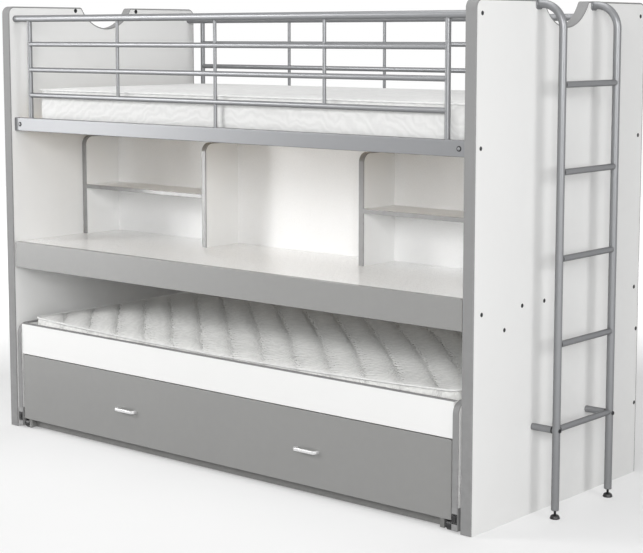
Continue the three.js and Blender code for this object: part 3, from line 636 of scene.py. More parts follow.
def panel_path():
    """The panel's edge from the rear foot over the top to the front foot."""
    middle = panel_depth / 2
    centre = panel_height - SCALLOP_DEPTH + SCALLOP_RADIUS
    level = panel_height - SCALLOP_FILLET
    offset = math.sqrt((SCALLOP_RADIUS + SCALLOP_FILLET) ** 2 - (centre - level) ** 2)
    tilt = math.atan2(centre - level, offset) / (math.pi / 2)
    path = [(panel_depth, panel_low.z), (panel_depth, panel_height / 2)]
    path += arc(panel_depth - PANEL_CORNER, panel_height - PANEL_CORNER, PANEL_CORNER, 0, 1, 10)
    path += arc(middle + offset, level, SCALLOP_FILLET, 1, 2 - tilt, 6)
    path += arc(middle, centre, SCALLOP_RADIUS, 4 - tilt, 2 + tilt, 40)
    path += arc(middle - offset, level, SCALLOP_FILLET, tilt, 1, 6)
    path += arc(PANEL_CORNER, panel_height - PANEL_CORNER, PANEL_CORNER, 1, 2, 10)
    path += [(0, panel_height / 2), (0, panel_low.z)]
    return distinct(path)


panel_edge = panel_path()
board_edge = inset(panel_edge, BAND_DEPTH + BAND_GAP, closed=False)
for side in ("left", "right"):
    low, high = span(f"{side}_panel_edging")
    bm = bmesh.new()
    edge_band(bm, panel_edge, "x", low.x, high.x, BAND_DEPTH, BAND_RADIUS)
    make_piece(f"{side}_panel_band", bm, [EDGING], nodes=[f"{side}_panel_edging"])
    foot = span(f"{side}_end_panel")[0].z
    outline = distinct([*board_edge, (board_edge[-1][0], foot), (board_edge[0][0], foot)])
    board_piece(f"{side}_panel_board", f"{side}_end_panel", outline, "x", low.x + BAND_GAP,
                high.x - BAND_GAP, 0.6, WHITE)
print("panel band:", BAND_DEPTH, "mm deep with", BAND_RADIUS, "mm roundings")


# %% [markdown]
# ## Fasteners
# The boards are held by socket screws, which show as small dark dots on the panels' faces. A screw head is
# turned like any round part, except that its socket is a hexagon. The ring that becomes the hexagon has as
# many points as the round ones, each moved in to the flat of the hexagon that it faces.

# %% Socket screws
SCREW_SIDES = 24
HEAD_EASE = 0.3
SOCKET_SHARE = 0.55
SOCKET_FLOOR = 0.7


def hexagon(centre, axis, radius, sides):
    """A circle's points pulled in to the flats of a hexagon."""
    sixth = math.pi / 3
    points = []
    for step, point in enumerate(circle(centre, axis, radius, sides)):
        off_flat = (2 * math.pi * step / sides) % sixth - sixth / 2
        share = math.cos(sixth / 2) / math.cos(off_flat)
        points.append(Vector(centre) + (point - Vector(centre)) * share)
    return points


def socket_screw(bm, place, axis, radius, height, finish=0):
    """A screw head with a hexagon socket, standing on a face."""
    axis = Vector(axis).normalized()
    place = Vector(place)
    top = place + axis * height
    ease = min(radius, height) * HEAD_EASE
    socket = radius * SOCKET_SHARE
    rings = [
        circle(place, axis, radius, SCREW_SIDES),
        circle(place + axis * (height - ease), axis, radius, SCREW_SIDES),
        circle(top, axis, radius - ease, SCREW_SIDES),
        hexagon(top, axis, socket, SCREW_SIDES),
        hexagon(place + axis * height * SOCKET_FLOOR, axis, socket * 0.95, SCREW_SIDES),
    ]
    skin(bm, rings, finish)


# %% Screws in the end panels
FACE_RECESS = 0.8
SCREW_RADIUS = 6.8
SCREW_PLACES = [
    (31, 1569), (951, 1567), (30, 1173), (951, 1170), (44, 675), (262, 675), (387, 675),
    (166, 612), (947, 653), (973 - SCREW_RADIUS, 506), (973 - SCREW_RADIUS, 247),
]
LADDER_HOLES = [(330, 1599), (650, 1599), (330, 282), (650, 282)]
for side, outer, way in (("left", 0, -1), ("right", bed_length, 1)):
    bm = bmesh.new()
    face = outer - way * FACE_RECESS
    for y, z in SCREW_PLACES:
        socket_screw(bm, (face, y, z), (way, 0, 0), SCREW_RADIUS, FACE_RECESS)
    inner = outer - way * (panel_thickness - FACE_RECESS)
    for y, z in LADDER_HOLES:
        socket_screw(bm, (inner, y, z), (-way, 0, 0), SCREW_RADIUS * 1.2, FACE_RECESS)
        if side == "left":
            socket_screw(bm, (face, y, z), (way, 0, 0), SCREW_RADIUS, FACE_RECESS)
    make_piece(f"{side}_panel_screws", bm, [BOLT])
print("screws in each panel's outer face:", len(SCREW_PLACES))


# %% [markdown]
# ## Bed rails
# The high bed hangs between two steel rails. Each is a rectangular tube with a ledge inside it for the
# slats. The outline of the tube and ledge is drawn once, with the tube's small corner radii, and mirrored
# for the rear. One domed bolt shows near each end of a rail.

# %% Rails
RAIL_WIDTH = 25
RAIL_CORNER = 2.5
LEDGE_LIFT = 2
LEDGE_THICKNESS = 3
BOLT_INSET = 31
COLLAR_HEIGHT = 1.2
BOLT_COLLAR = [(8.5, 0), (8.5, 0.8), (8, COLLAR_HEIGHT)]
BOLT_DOME = [(5.4 * math.cos(t), COLLAR_HEIGHT + 2.6 * math.sin(t)) for t in quarter(10)[:-1]]


def rail_outline(low, high):
    back = low.y + RAIL_WIDTH
    ledge_top = low.z + LEDGE_LIFT + LEDGE_THICKNESS
    top = high.z
    outline = arc(low.y + RAIL_CORNER, low.z + RAIL_CORNER, RAIL_CORNER, 2, 3, 4)
    outline += [(back, low.z), (back, low.z + LEDGE_LIFT), (high.y, low.z + LEDGE_LIFT), (high.y, ledge_top),
                (back, ledge_top)]
    outline += arc(back - RAIL_CORNER, top - RAIL_CORNER, RAIL_CORNER, 0, 1, 4)
    outline += arc(low.y + RAIL_CORNER, top - RAIL_CORNER, RAIL_CORNER, 1, 2, 4)
    return outline


rail_low, rail_high = span("front_bed_rail")
for side in ("front", "rear"):
    outline = rail_outline(rail_low, rail_high)
    face = rail_low.y
    if side == "rear":
        outline = [(panel_depth - y, z) for y, z in reversed(outline)]
        face = panel_depth - face
    board_piece(f"{side}_rail", f"{side}_bed_rail", outline, "x", rail_low.x, rail_high.x, 0.3, STEEL)
    bm = bmesh.new()
    way = -1 if side == "front" else 1
    for x in (rail_low.x + BOLT_INSET, rail_high.x - BOLT_INSET):
        place = Vector((x, face, (rail_low.z + rail_high.z) / 2))
        turned(bm, place, (0, way, 0), BOLT_COLLAR, 28)
        turned(bm, place, (0, way, 0), BOLT_DOME, 28, 1)
    make_piece(f"{side}_rail_bolts", bm, [BOLT, STEEL])
print("rail section:", RAIL_WIDTH, "x", round(rail_high.z - rail_low.z), "mm")


# %% [markdown]
# ## Guards
# A guard is one welded frame: a thick top tube from panel to panel, three bars between two end uprights,
# and three thin rods. Tubes that only cross look like toys, so every joint gets its weld bead. The bead
# follows the true curve in which one round tube meets another.

# %% Weld beads
WELD_STEPS = 24
WELD_BEAD = 1.3


def weld(bm, joint, run, across, tube_radius, bar_radius, bead=WELD_BEAD):
    """A bead where a bar that leaves along run meets a tube that lies along across."""
    joint, run, across = Vector(joint), Vector(run).normalized(), Vector(across).normalized()
    third = run.cross(across)
    centre = []
    for step in range(WELD_STEPS):
        t = 2 * math.pi * step / WELD_STEPS
        aside = bar_radius * math.sin(t)
        out = math.sqrt(max(tube_radius ** 2 - aside ** 2, 0))
        centre.append(joint + across * bar_radius * math.cos(t) + third * aside + run * out)
    rings = []
    for step, point in enumerate(centre):
        along = (centre[(step + 1) % WELD_STEPS] - centre[step - 1]).normalized()
        outward = (point - joint - run * (point - joint).dot(run)).normalized()
        rings.append(ring(point, bead, outward, along.cross(outward).normalized(), 6))
    skin(bm, rings, loop=True)


def flat_weld(bm, place, axis, bar_radius, bead=WELD_BEAD):
    """A bead round a bar that stands on a flat face."""
    profile = [(bar_radius - 0.3, bead), (bar_radius + bead * 0.7, bead * 0.7), (bar_radius + bead, 0)]
    turned(bm, place, axis, profile, 28)


# %% Guard frames
TOP_RADIUS = 12.5
BAR_RADIUS = 9
ROD_RADIUS = 6
ROD_BEAD = 1.0
BAR_COUNT = 3
LOWEST_GAP = 86
END_INSET = 83
RIGHT, UP, DOWN, BACK = Vector((1, 0, 0)), Vector((0, 0, 1)), Vector((0, 0, -1)), Vector((0, 1, 0))


def guard(side):
    low, high = span(f"{side}_guard")
    y = (low.y + high.y) / 2
    top, foot = high.z - TOP_RADIUS, low.z
    pitch = (top - foot - LOWEST_GAP) / BAR_COUNT
    levels = [top - pitch * (bar + 1) for bar in range(BAR_COUNT)]
    first, last = low.x + END_INSET, high.x - END_INSET
    bm = bmesh.new()
    tube(bm, [(low.x, y, top), (high.x, y, top)], TOP_RADIUS, 36)
    for level in levels:
        tube(bm, [(first, y, level), (last, y, level)], BAR_RADIUS)
        weld(bm, (first, y, level), RIGHT, UP, BAR_RADIUS, BAR_RADIUS)
        weld(bm, (last, y, level), -RIGHT, UP, BAR_RADIUS, BAR_RADIUS)
    for x in (first, last):
        tube(bm, [(x, y, foot), (x, y, top)], BAR_RADIUS)
        weld(bm, (x, y, top), DOWN, RIGHT, TOP_RADIUS, BAR_RADIUS)
        flat_weld(bm, (x, y, foot), UP, BAR_RADIUS)
    for index in (1, 2, 3):
        x = first + (last - first) * index / 4
        stands = index == 2
        tube(bm, [(x, y, foot if stands else levels[-1]), (x, y, top)], ROD_RADIUS, 20)
        weld(bm, (x, y, top), DOWN, RIGHT, TOP_RADIUS, ROD_RADIUS, ROD_BEAD)
        for level in levels:
            weld(bm, (x, y, level), UP, RIGHT, BAR_RADIUS, ROD_RADIUS, ROD_BEAD)
            if stands or level != levels[-1]:
                weld(bm, (x, y, level), DOWN, RIGHT, BAR_RADIUS, ROD_RADIUS, ROD_BEAD)
        if stands:
            flat_weld(bm, (x, y, foot), UP, ROD_RADIUS, ROD_BEAD)
    make_piece(f"{side}_guard_frame", bm, [STEEL], nodes=[f"{side}_guard"])
    return levels


for side in ("front", "rear"):
    bar_levels = guard(side)
print("guard bars at", [round(level) for level in bar_levels], "mm")


# %% [markdown]
# ## Desk and hutch
# The desk is a white top with a deeper grey apron in front of it. The hutch's uprights and shelves are
# white with a grey band along the edge that shows, and each upright's top front corner is rounded. They
# use the same band as the panels, scaled to a thinner board.

# %% Desk
plain_board("desk_top", PAINTED_LIGHT_DESK, ease=1.0)
low, high = span("desk_apron")
APRON_CORNER = 8
FOOT_CORNER = 2
FRONT_EASE = 1.2
outline = rounded((low.x, low.z), (high.x, high.z), [FOOT_CORNER, FOOT_CORNER, APRON_CORNER, APRON_CORNER])
board_piece("desk_apron_finished", "desk_apron", outline, "y", low.y, high.y, FRONT_EASE, GREY)
# The hutch's back takes the desk's lighter laminate as painted light.
plain_board("hutch_back_panel", PAINTED_LIGHT_DESK)
for node in ("desk_left_bearer", "desk_right_bearer", "rear_stretcher", "lower_back_board"):
    plain_board(node, WHITE)

# %% Banded boards
THIN_DEPTH = 3.5
THIN_RADIUS = 2.2


def banded_board(name, node, path, rest, axis, low, high, body="root", depth=THIN_DEPTH, radius=THIN_RADIUS,
                 trim=EDGING):
    """A board with a grey band along path, which runs with the board on its left, and a plain rest."""
    bm = bmesh.new()
    edge_band(bm, path, axis, low, high, depth, radius, finish=1)
    inner = inset(path, depth + BAND_GAP, closed=False)
    slab(bm, [*inner, *rest], axis, low + BAND_GAP, high - BAND_GAP, 0.5)
    make_piece(name, bm, [WHITE, trim], body, [node])


UPRIGHT_CORNER = 35
for node in ("hutch_left_side", "hutch_left_divider", "hutch_right_divider", "hutch_right_side"):
    low, high = span(node)
    path = [(high.y, high.z)]
    path += arc(low.y + UPRIGHT_CORNER, high.z - UPRIGHT_CORNER, UPRIGHT_CORNER, 1, 2, 10)
    path += [(low.y, low.z)]
    banded_board(f"{node}_finished", node, path, [(high.y, low.z)], "x", low.x, high.x, trim=TRIM)
for node in ("left_shelf", "right_shelf"):
    low, high = span(node)
    banded_board(f"{node}_finished", node, [(low.x, low.y), (high.x, low.y)],
                 [(high.x, high.y), (low.x, high.y)], "z", low.z, high.z, trim=TRIM)


# %% [markdown]
# ## Slatted bases
# The mattresses of the upper and the low bed lie on slats. A slat is a long board with eased edges, and
# two battens join the slats at their ends.

# %% Slats
SLAT_COUNT = 14
SLAT_SHARE = 0.45
BATTEN_WIDTH = 60


def slatted_base(node, body):
    low, high = span(node)
    pitch = (high.x - low.x) / SLAT_COUNT
    half = pitch * SLAT_SHARE / 2
    bm = bmesh.new()
    for y in (low.y, high.y - BATTEN_WIDTH):
        slab(bm, rounded((low.x, y), (high.x, y + BATTEN_WIDTH), [3] * 4, 3), "z", low.z, high.z, 2.0)
    for slat in range(SLAT_COUNT + 1):
        centre = low.x + slat * pitch
        start, end = max(centre - half, low.x), min(centre + half, high.x)
        front, back = low.y + BATTEN_WIDTH - 1, high.y - BATTEN_WIDTH + 1
        slab(bm, rounded((front, low.z + 1), (back, high.z), [0.5] * 4, 2), "x", start, end, 0.4)
    make_piece(f"{node}_finished", bm, [BIRCH], body, [node])


slatted_base("upper_slat_base", "root")
slatted_base("roll_bed_slat_base", "roll_bed")
print("slats in each base:", SLAT_COUNT + 1)


# %% [markdown]
# ## Ladder
# Two tubes come out of the right panel's top, bend and run down to levelling feet. A flange closes the joint
# at the panel, and a short standoff holds each tube near the floor. A black cap closes each tube's foot, and
# black rings sit round each standoff at its tube and round each rung at the front tube, where they make the
# joint dark. The bend is an arc of many short steps.

# %% Stiles
STANDOFF = 88
STILE_RADIUS = 12.5
STILE_BEND = 75
STILE_FOOT = 28
STANDOFF_LEVEL = 282
STANDOFF_RADIUS = 11
RING_WIDTH = 3
PLATE_DROP = 29
PLATE_THICKNESS = 3
PLATE_CORNERS = [10, 10, 1, 1]
END_CAP = [(9, 0), (STILE_RADIUS - 0.8, 0.4), (STILE_RADIUS - 0.8, 3)]


def collar(radius, proud, width, end):
    """The profile of a black ring that sits round a tube."""
    return [(radius - 0.4, 0), (radius + proud, 0.4), (radius + proud, width), (radius - 0.4, end)]


face = bed_length
stile_x = face + STANDOFF
for side in ("front", "rear"):
    low, high = span(f"ladder_{side}_stile")
    y = (low.y + high.y) / 2
    top = high.z - STILE_RADIUS
    path = [(face, y, top)]
    path += [(x, y, z) for x, z in arc(stile_x - STILE_BEND, top - STILE_BEND, STILE_BEND, 1, 0, 16)]
    path += [(stile_x, y, STILE_FOOT)]
    bm = bmesh.new()
    tube(bm, path, STILE_RADIUS, 36)
    plate = rounded((low.y, high.z - PLATE_DROP), (high.y, high.z), PLATE_CORNERS)
    slab(bm, plate, "x", face, face + PLATE_THICKNESS, 0.8)
    flat_weld(bm, (face + PLATE_THICKNESS, y, top), RIGHT, STILE_RADIUS, 1.2)
    tube(bm, [(face, y, STANDOFF_LEVEL), (stile_x, y, STANDOFF_LEVEL)], STANDOFF_RADIUS, 32)
    ring_start = stile_x - STILE_RADIUS - RING_WIDTH
    turned(bm, (ring_start, y, STANDOFF_LEVEL), RIGHT, collar(STANDOFF_RADIUS, 0.7, 5, 6), 32, 1)
    turned(bm, (stile_x, y, STILE_FOOT - 1.2), UP, END_CAP, 32, 1)
    socket_screw(bm, (stile_x + STILE_RADIUS - 0.6, y, STANDOFF_LEVEL), RIGHT, 6.5, 3.4, finish=2)
    for vertex in bm.verts:  # the bead at the panel's top is ground flush
        vertex.co.z = min(vertex.co.z, high.z)
    make_piece(f"ladder_{side}_tube", bm, [STEEL, BLACK, BOLT], nodes=[f"ladder_{side}_stile"])

# %% Rungs
RUNG_RADIUS = 10
for rung in range(1, 6):
    low, high = span(f"ladder_rung_{rung}")
    level = (low.z + high.z) / 2
    bm = bmesh.new()
    tube(bm, [(stile_x, low.y, level), (stile_x, high.y, level)], RUNG_RADIUS, 32)
    turned(bm, (stile_x, low.y, level), BACK, collar(RUNG_RADIUS, 0.6, 6, 6.6), 32, 1)
    make_piece(f"ladder_rung_{rung}_tube", bm, [STEEL, BLACK], nodes=[f"ladder_rung_{rung}"])
print("ladder rungs every", round(span("ladder_rung_2")[0].z - span("ladder_rung_1")[0].z, 1), "mm")

# %% Levelling feet
PAD_HEIGHT = 4.2
PAD_DOME = 9.5
NECK_RADIUS = 4.5
THREAD_START = 15
THREAD_PITCH = 1.25
THREAD_ROOT = 3.4
THREAD_CREST = 4.0
for side in ("front", "rear"):
    node = f"{side}_ladder_foot"
    low, high = span(node)
    radius = (high.x - low.x) / 2
    centre = ((low.x + high.x) / 2, (low.y + high.y) / 2, low.z)
    profile = [(radius - 2, 0), (radius - 0.6, 0.4), (radius, 1.5), (radius, 3.2), (radius - 0.8, PAD_HEIGHT)]
    profile += [(NECK_RADIUS + (radius - NECK_RADIUS - 1) * math.cos(t), PAD_HEIGHT + PAD_DOME * math.sin(t))
                for t in quarter(8)[1:]]
    profile += [(4.4, 14.5)]
    threads = int((high.z - low.z - THREAD_START - 1) / THREAD_PITCH)
    for turn in range(threads):
        level = THREAD_START + turn * THREAD_PITCH
        profile += [(THREAD_ROOT, level), (THREAD_CREST, level + THREAD_PITCH / 2)]
    profile += [(THREAD_ROOT, high.z - low.z)]
    bm = bmesh.new()
    turned(bm, centre, UP, profile, 32)
    make_piece(f"{node}_finished", bm, [BLACK], node, [node])
print("thread turns on a foot:", threads)

# %% [markdown]
# ## The low bed
# The low bed is a shallow box. Its end boards are banded like the hutch, and its front board shows only a
# thin grey top edge. Each lower corner holds a plastic housing with a castor wheel in it, and the front
# housings have a brake lever.

# %% Low bed boards
ROLL_CORNER = 40
for side in ("left", "right"):
    node = f"roll_bed_{side}_end"
    low, high = span(node)
    house_high = span(f"{side}_front_castor_housing")[1]
    notch, notch_top = house_high.y, house_high.z
    path = [(high.y, notch_top)]
    path += arc(high.y - ROLL_CORNER, high.z - ROLL_CORNER, ROLL_CORNER, 0, 1, 10)
    path += arc(low.y + ROLL_CORNER, high.z - ROLL_CORNER, ROLL_CORNER, 1, 2, 10)
    path += [(low.y, notch_top)]
    rest = [(notch, notch_top), (notch, low.z), (high.y - notch, low.z), (high.y - notch, notch_top)]
    banded_board(f"{node}_finished", node, path, rest, "x", low.x, high.x, body="roll_bed")
low, high = span("roll_bed_front_board")
banded_board("roll_bed_front_board_finished", "roll_bed_front_board", [(high.x, high.z), (low.x, high.z)],
             [(low.x, low.z), (high.x, low.z)], "y", low.y, high.y, "roll_bed", depth=1.4, radius=1.2)
plain_board("roll_bed_back_board", WHITE, "roll_bed")

# %% Wheels, housings and levers
WHEEL_BORE = 4.4
BEZEL_OUTER = (10.4, 16)
BEZEL_INNER = (7.2, 13.5)
BEZEL_SECTION = [(0, 0.3), (0, -0.6), (0.15, -1.0), (0.85, -1.0), (1, -0.6), (1, 0.3)]


def wheel(node):
    """A moulded wheel: a tread with round shoulders, a dished web and a hub."""
    low, high = span(node)
    radius, half = (high.z - low.z) / 2, (high.x - low.x) / 2
    shoulder = radius * 0.12
    hub, rim, dish = WHEEL_BORE + 2.4, radius * 0.76, half * 0.35
    face = [(WHEEL_BORE, half), (hub, half), (hub + 0.8, half - dish), (rim - 0.8, half - dish), (rim, half)]
    face += [(radius - shoulder + shoulder * math.sin(t), half - shoulder + shoulder * math.cos(t))
             for t in quarter(4)]
    profile = [(reach, -level) for reach, level in face] + face[::-1]
    bm = bmesh.new()
    turned(bm, (low + high) / 2, RIGHT, profile, 40, loop=True)
    make_piece(f"{node}_finished", bm, [BLACK], node, [node])


for side in ("left", "right"):
    for end in ("front", "rear"):
        eased_copy(f"{side}_{end}_castor_housing", HOUSING, "roll_bed", 0.5)
        wheel(f"{side}_{end}_castor_wheel")
        wheel(f"drawer_{side}_{end}_wheel")
    eased_copy(f"{side}_brake_lever", BLACK, f"{side}_brake_lever", 0.7)
    low, high = span(f"{side}_brake_lever")
    middle, level = (low.x + high.x) / 2, (low.z + high.z) / 2
    rings = []
    for across, up in ((-1, -1), (1, -1), (1, 1), (-1, 1)):
        outer = Vector((middle + across * BEZEL_OUTER[0], 0, level + up * BEZEL_OUTER[1]))
        inner = Vector((middle + across * BEZEL_INNER[0], 0, level + up * BEZEL_INNER[1]))
        rings.append([outer.lerp(inner, share) + BACK * depth for share, depth in BEZEL_SECTION])
    bm = bmesh.new()
    skin(bm, rings, loop=True)
    make_piece(f"{side}_lever_bezel", bm, [BLACK], "roll_bed")

# %% [markdown]
# ## The drawer
# The drawer's front is the largest grey face of the bed. Two bow handles of satin metal stand off it, and
# the box behind it carries the third mattress.

# %% Drawer
DRAWER_CORNER = 9
FRONT_GAP = 1.5
low, high = span("drawer_front")
outline = rounded((low.x + FRONT_GAP, low.z), (high.x - FRONT_GAP, high.z),
                  [FOOT_CORNER, FOOT_CORNER, DRAWER_CORNER, DRAWER_CORNER])
board_piece("drawer_front_finished", "drawer_front", outline, "y", low.y, high.y, FRONT_EASE, GREY, "drawer")
plain_board("drawer_back", WHITE, "drawer")
# The sides below the front's lower edge, and the base's front lip, take a darker grey: painted shade under
# the drawer front.
painted_shade_level = CORNER.z + low.z * MM
for side in ("left", "right"):
    piece = eased_copy(f"drawer_{side}_side", WHITE, "drawer", 0.5)
    bm = bmesh.new()
    bm.from_mesh(piece.data)
    bmesh.ops.bisect_plane(bm, geom=bm.verts[:] + bm.edges[:] + bm.faces[:], plane_co=(0, 0, painted_shade_level),
                           plane_no=(0, 0, 1))
    for toe in bm.faces:
        toe.material_index = int(toe.calc_center_median().z < painted_shade_level)
    bm.to_mesh(piece.data)
    bm.free()
    piece.data.materials.append(PAINTED_SHADE_GREY)
drawer_base = eased_copy("drawer_base", WHITE, "drawer", 0.5)
drawer_base.data.materials.append(PAINTED_SHADE_GREY)
# The base's front lip takes the same painted shade.
SHADED_LIP_REACH = 30
shaded_lip_back = CORNER.y + (span("drawer_base")[0].y + SHADED_LIP_REACH) * MM
for face in drawer_base.data.polygons:
    if face.center.y < shaded_lip_back:
        face.material_index = 1

# %% Bow handles
HANDLE_BEND = 14
HANDLE_THICKNESS = 9
HANDLE_EASE = 2.5
for side in ("left", "right"):
    node = f"{side}_drawer_handle"
    low, high = span(node)
    outline = []
    for draw, turn in ((0, 1), (HANDLE_THICKNESS, -1)):
        bend = HANDLE_BEND - draw
        front = low.y + draw
        legs = [(low.x + draw, high.y)]
        legs += arc(low.x + draw + bend, front + bend, bend, 2, 3, 8)
        legs += arc(high.x - draw - bend, front + bend, bend, 3, 4, 8)
        legs += [(high.x - draw, high.y)]
        outline += legs[::turn]
    board_piece(f"{node}_finished", node, outline, "z", low.z, high.z, HANDLE_EASE, BRIGHT, "drawer", 4)
print("handle:", [round(v) for v in (high - low)], "mm")


# %% [markdown]
# ## Mattresses
# A mattress is a foam core in a sewn cover: a top panel, a border and a bottom panel, joined by piped
# seams. The low bed's top is also quilted along slanting channels. The cover is drawn on a lattice whose
# diagonals are those channels, so each channel can be a clean fold of the mesh. The cover is then blown up
# as cloth while its seams, channels and bottom are held, which gives the fields between them their
# pillow shape.

# %% The cover's lattice
QUILT_PITCH = 147
COVER_STEP = QUILT_PITCH / 8
QUILT_SLOPE = 0.95
QUILT_START = 567
QUILT_DEPTH = 9
WAIST = 5
SEAM_INSET = 4.5
BORDER_ROWS = 7
BORDER_SWELL = 2.5
SEAM_FADE = 70


class Mattress:
    """The measures of one mattress, from its node's box."""

    def __init__(self, node, border, dip=0.0, quilted=False, step=COVER_STEP * 2, puff=6.0, corner=60):
        self.node, self.border, self.dip, self.quilted, self.puff = node, border, dip, quilted, puff
        self.corner = corner
        self.low, self.high = span(node)
        self.length, self.width = self.high.x - self.low.x, self.high.y - self.low.y
        self.crown = self.high.z - self.low.z - border - (0 if quilted else puff)
        start = QUILT_START - self.low.x if quilted else 0
        self.columns = self.lines(self.length, step, start)
        self.rows = self.lines(self.width, step * QUILT_SLOPE, 0)

    def lines(self, length, step, start):
        """Lattice lines across a length, with its two ends."""
        first = start % step
        inner = [first + step * index for index in range(int(length / step) + 1)]
        return [0.0, *[line for line in inner if step * 0.3 < line < length - step * 0.3], length]

    def phase(self, x, y):
        """How many channels lie between a place on the cover and the first one."""
        return (x + y / QUILT_SLOPE - (QUILT_START - self.low.x)) / QUILT_PITCH

    def on_channel(self, x, y):
        phase = self.phase(x, y)
        return self.quilted and abs(phase - round(phase)) < 0.02

    def edge_height(self, x):
        return self.border - self.dip * (1 - (2 * x / self.length - 1) ** 2)

    def fade(self, x, y):
        """Nought at the seam and one well inside it."""
        return min(min(x, y, self.length - x, self.width - y) / SEAM_FADE, 1)

    def top_height(self, x, y):
        u, v = 2 * x / self.length - 1, 2 * y / self.width - 1
        edge = self.edge_height(x)
        rise = (self.border + self.crown - edge) * (1 - v ** 4) * (1 - u ** 6)
        return edge + rise - (QUILT_DEPTH * self.fade(x, y) if self.quilted else 0)

    def place(self, x, y, draw, z):
        """A point of the cover: its sides are drawn in at their middles and its corners are rounded."""
        half_x, half_y = self.length / 2, self.width / 2
        u, v = x / half_x - 1, y / half_y - 1
        across = u * (half_x - draw - WAIST * (1 - v * v))
        along = v * (half_y - draw - WAIST * (1 - u * u))
        past_x, past_y = abs(across) - half_x + self.corner, abs(along) - half_y + self.corner
        if past_x > 0 and past_y > 0:
            pull = 1 - max(past_x, past_y) / math.hypot(past_x, past_y)
            across -= math.copysign(past_x * pull, across)
            along -= math.copysign(past_y * pull, along)
        return self.low + Vector((half_x + across, half_y + along, z))

    def seam(self):
        """The lattice places round the cover's edge, in order."""
        right, back = self.columns, self.rows
        return ([(x, 0.0) for x in right[:-1]] + [(self.length, y) for y in back[:-1]]
                + [(x, self.width) for x in right[:0:-1]] + [(0.0, y) for y in back[:0:-1]])

    def mesh(self):
        """The sewn cover before it's blown up, and the indices of the points that are held."""
        bm = bmesh.new()
        held, grid = [], []
        for y in self.rows:
            line = []
            for x in self.columns:
                vertex = bm.verts.new(self.place(x, y, SEAM_INSET, self.top_height(x, y)))
                line.append(vertex)
                if x in (0.0, self.length) or y in (0.0, self.width) or self.on_channel(x, y):
                    held.append(vertex)
            grid.append(line)
        for j, y in enumerate(self.rows[:-1]):
            for i, x in enumerate(self.columns[:-1]):
                a, b, c, d = grid[j][i], grid[j][i + 1], grid[j + 1][i + 1], grid[j + 1][i]
                if self.on_channel(self.columns[i + 1], y) and self.on_channel(x, self.rows[j + 1]):
                    bm.faces.new((a, b, d))
                    bm.faces.new((b, c, d))
                else:
                    bm.faces.new((a, b, c, d))
        upper = [grid[self.rows.index(y)][self.columns.index(x)] for x, y in self.seam()]
        for row in range(1, BORDER_ROWS + 1):
            share = row / BORDER_ROWS
            lower = []
            for x, y in self.seam():
                level = self.edge_height(x) * (1 - share)
                swell = BORDER_SWELL * math.sin(math.pi * share)
                lower.append(bm.verts.new(self.place(x, y, SEAM_INSET - swell, level)))
            for k in range(len(lower)):
                after = (k + 1) % len(lower)
                bm.faces.new((upper[k], lower[k], lower[after], upper[after]))
            upper = lower
        held += upper
        middle = bm.verts.new(self.place(self.length / 2, self.width / 2, 0, 0))
        held.append(middle)
        for k in range(len(upper)):
            bm.faces.new((middle, upper[(k + 1) % len(upper)], upper[k]))
        bmesh.ops.recalc_face_normals(bm, faces=bm.faces)
        bm.verts.index_update()
        return bm, [vertex.index for vertex in held]


# %% Blowing up a cover
def blow_up(piece, held, cap):
    """Cloth with pressure inside, run for twenty frames and kept. No point may move further than the cap."""
    before = np.empty(len(piece.data.vertices) * 3)
    piece.data.vertices.foreach_get("co", before)
    before = before.reshape(-1, 3)
    group = piece.vertex_groups.new(name="held")
    group.add(held, 1.0, "REPLACE")
    cloth = piece.modifiers.new("stuffing", "CLOTH")
    cloth.settings.use_pressure = True
    cloth.settings.uniform_pressure_force = 4
    cloth.settings.effector_weights.gravity = 0
    cloth.settings.vertex_group_mass = "held"
    cloth.settings.mass = 0.15
    cloth.settings.tension_stiffness = 12
    cloth.settings.compression_stiffness = 12
    for frame_number in range(1, 21):
        scene.frame_set(frame_number)
    evaluated = piece.evaluated_get(bpy.context.evaluated_depsgraph_get())
    after_points = np.array([vertex.co for vertex in evaluated.data.vertices])
    moved = after_points - before
    reach = np.linalg.norm(moved, axis=1)
    scale = np.minimum(1, cap * MM / np.maximum(reach, 1e-9))
    piece.modifiers.remove(cloth)
    piece.data.vertices.foreach_set("co", (before + moved * scale[:, None]).ravel())
    piece.data.update()
    scene.frame_set(1)
    return reach.max() / MM


# %% Seams and channels
PIPING_RADIUS = 3.2
CREASE_DEPTH = 4.5
CREASE_REACH = 7
TOP_SHARE = 0.7


def piping(mattress, body):
    """The two piped seams, as cords along the top and bottom edges of the border."""
    bm = bmesh.new()
    for level_share in (1, 0):
        path = [mattress.place(x, y, SEAM_INSET - 0.5, mattress.edge_height(x) * level_share)
                for x, y in mattress.seam()]
        count = len(path)
        rings = []
        for k, point in enumerate(path):
            along = (path[(k + 1) % count] - path[k - 1]).normalized()
            out = along.cross(UP).normalized()
            rise = out.cross(along)
            centre = point + UP * (PIPING_RADIUS * (1 - level_share))
            rings.append(ring(centre, PIPING_RADIUS, out, rise, 10))
        skin(bm, rings, loop=True)
    make_piece(f"{mattress.node}_piping", bm, [PIPING], body)


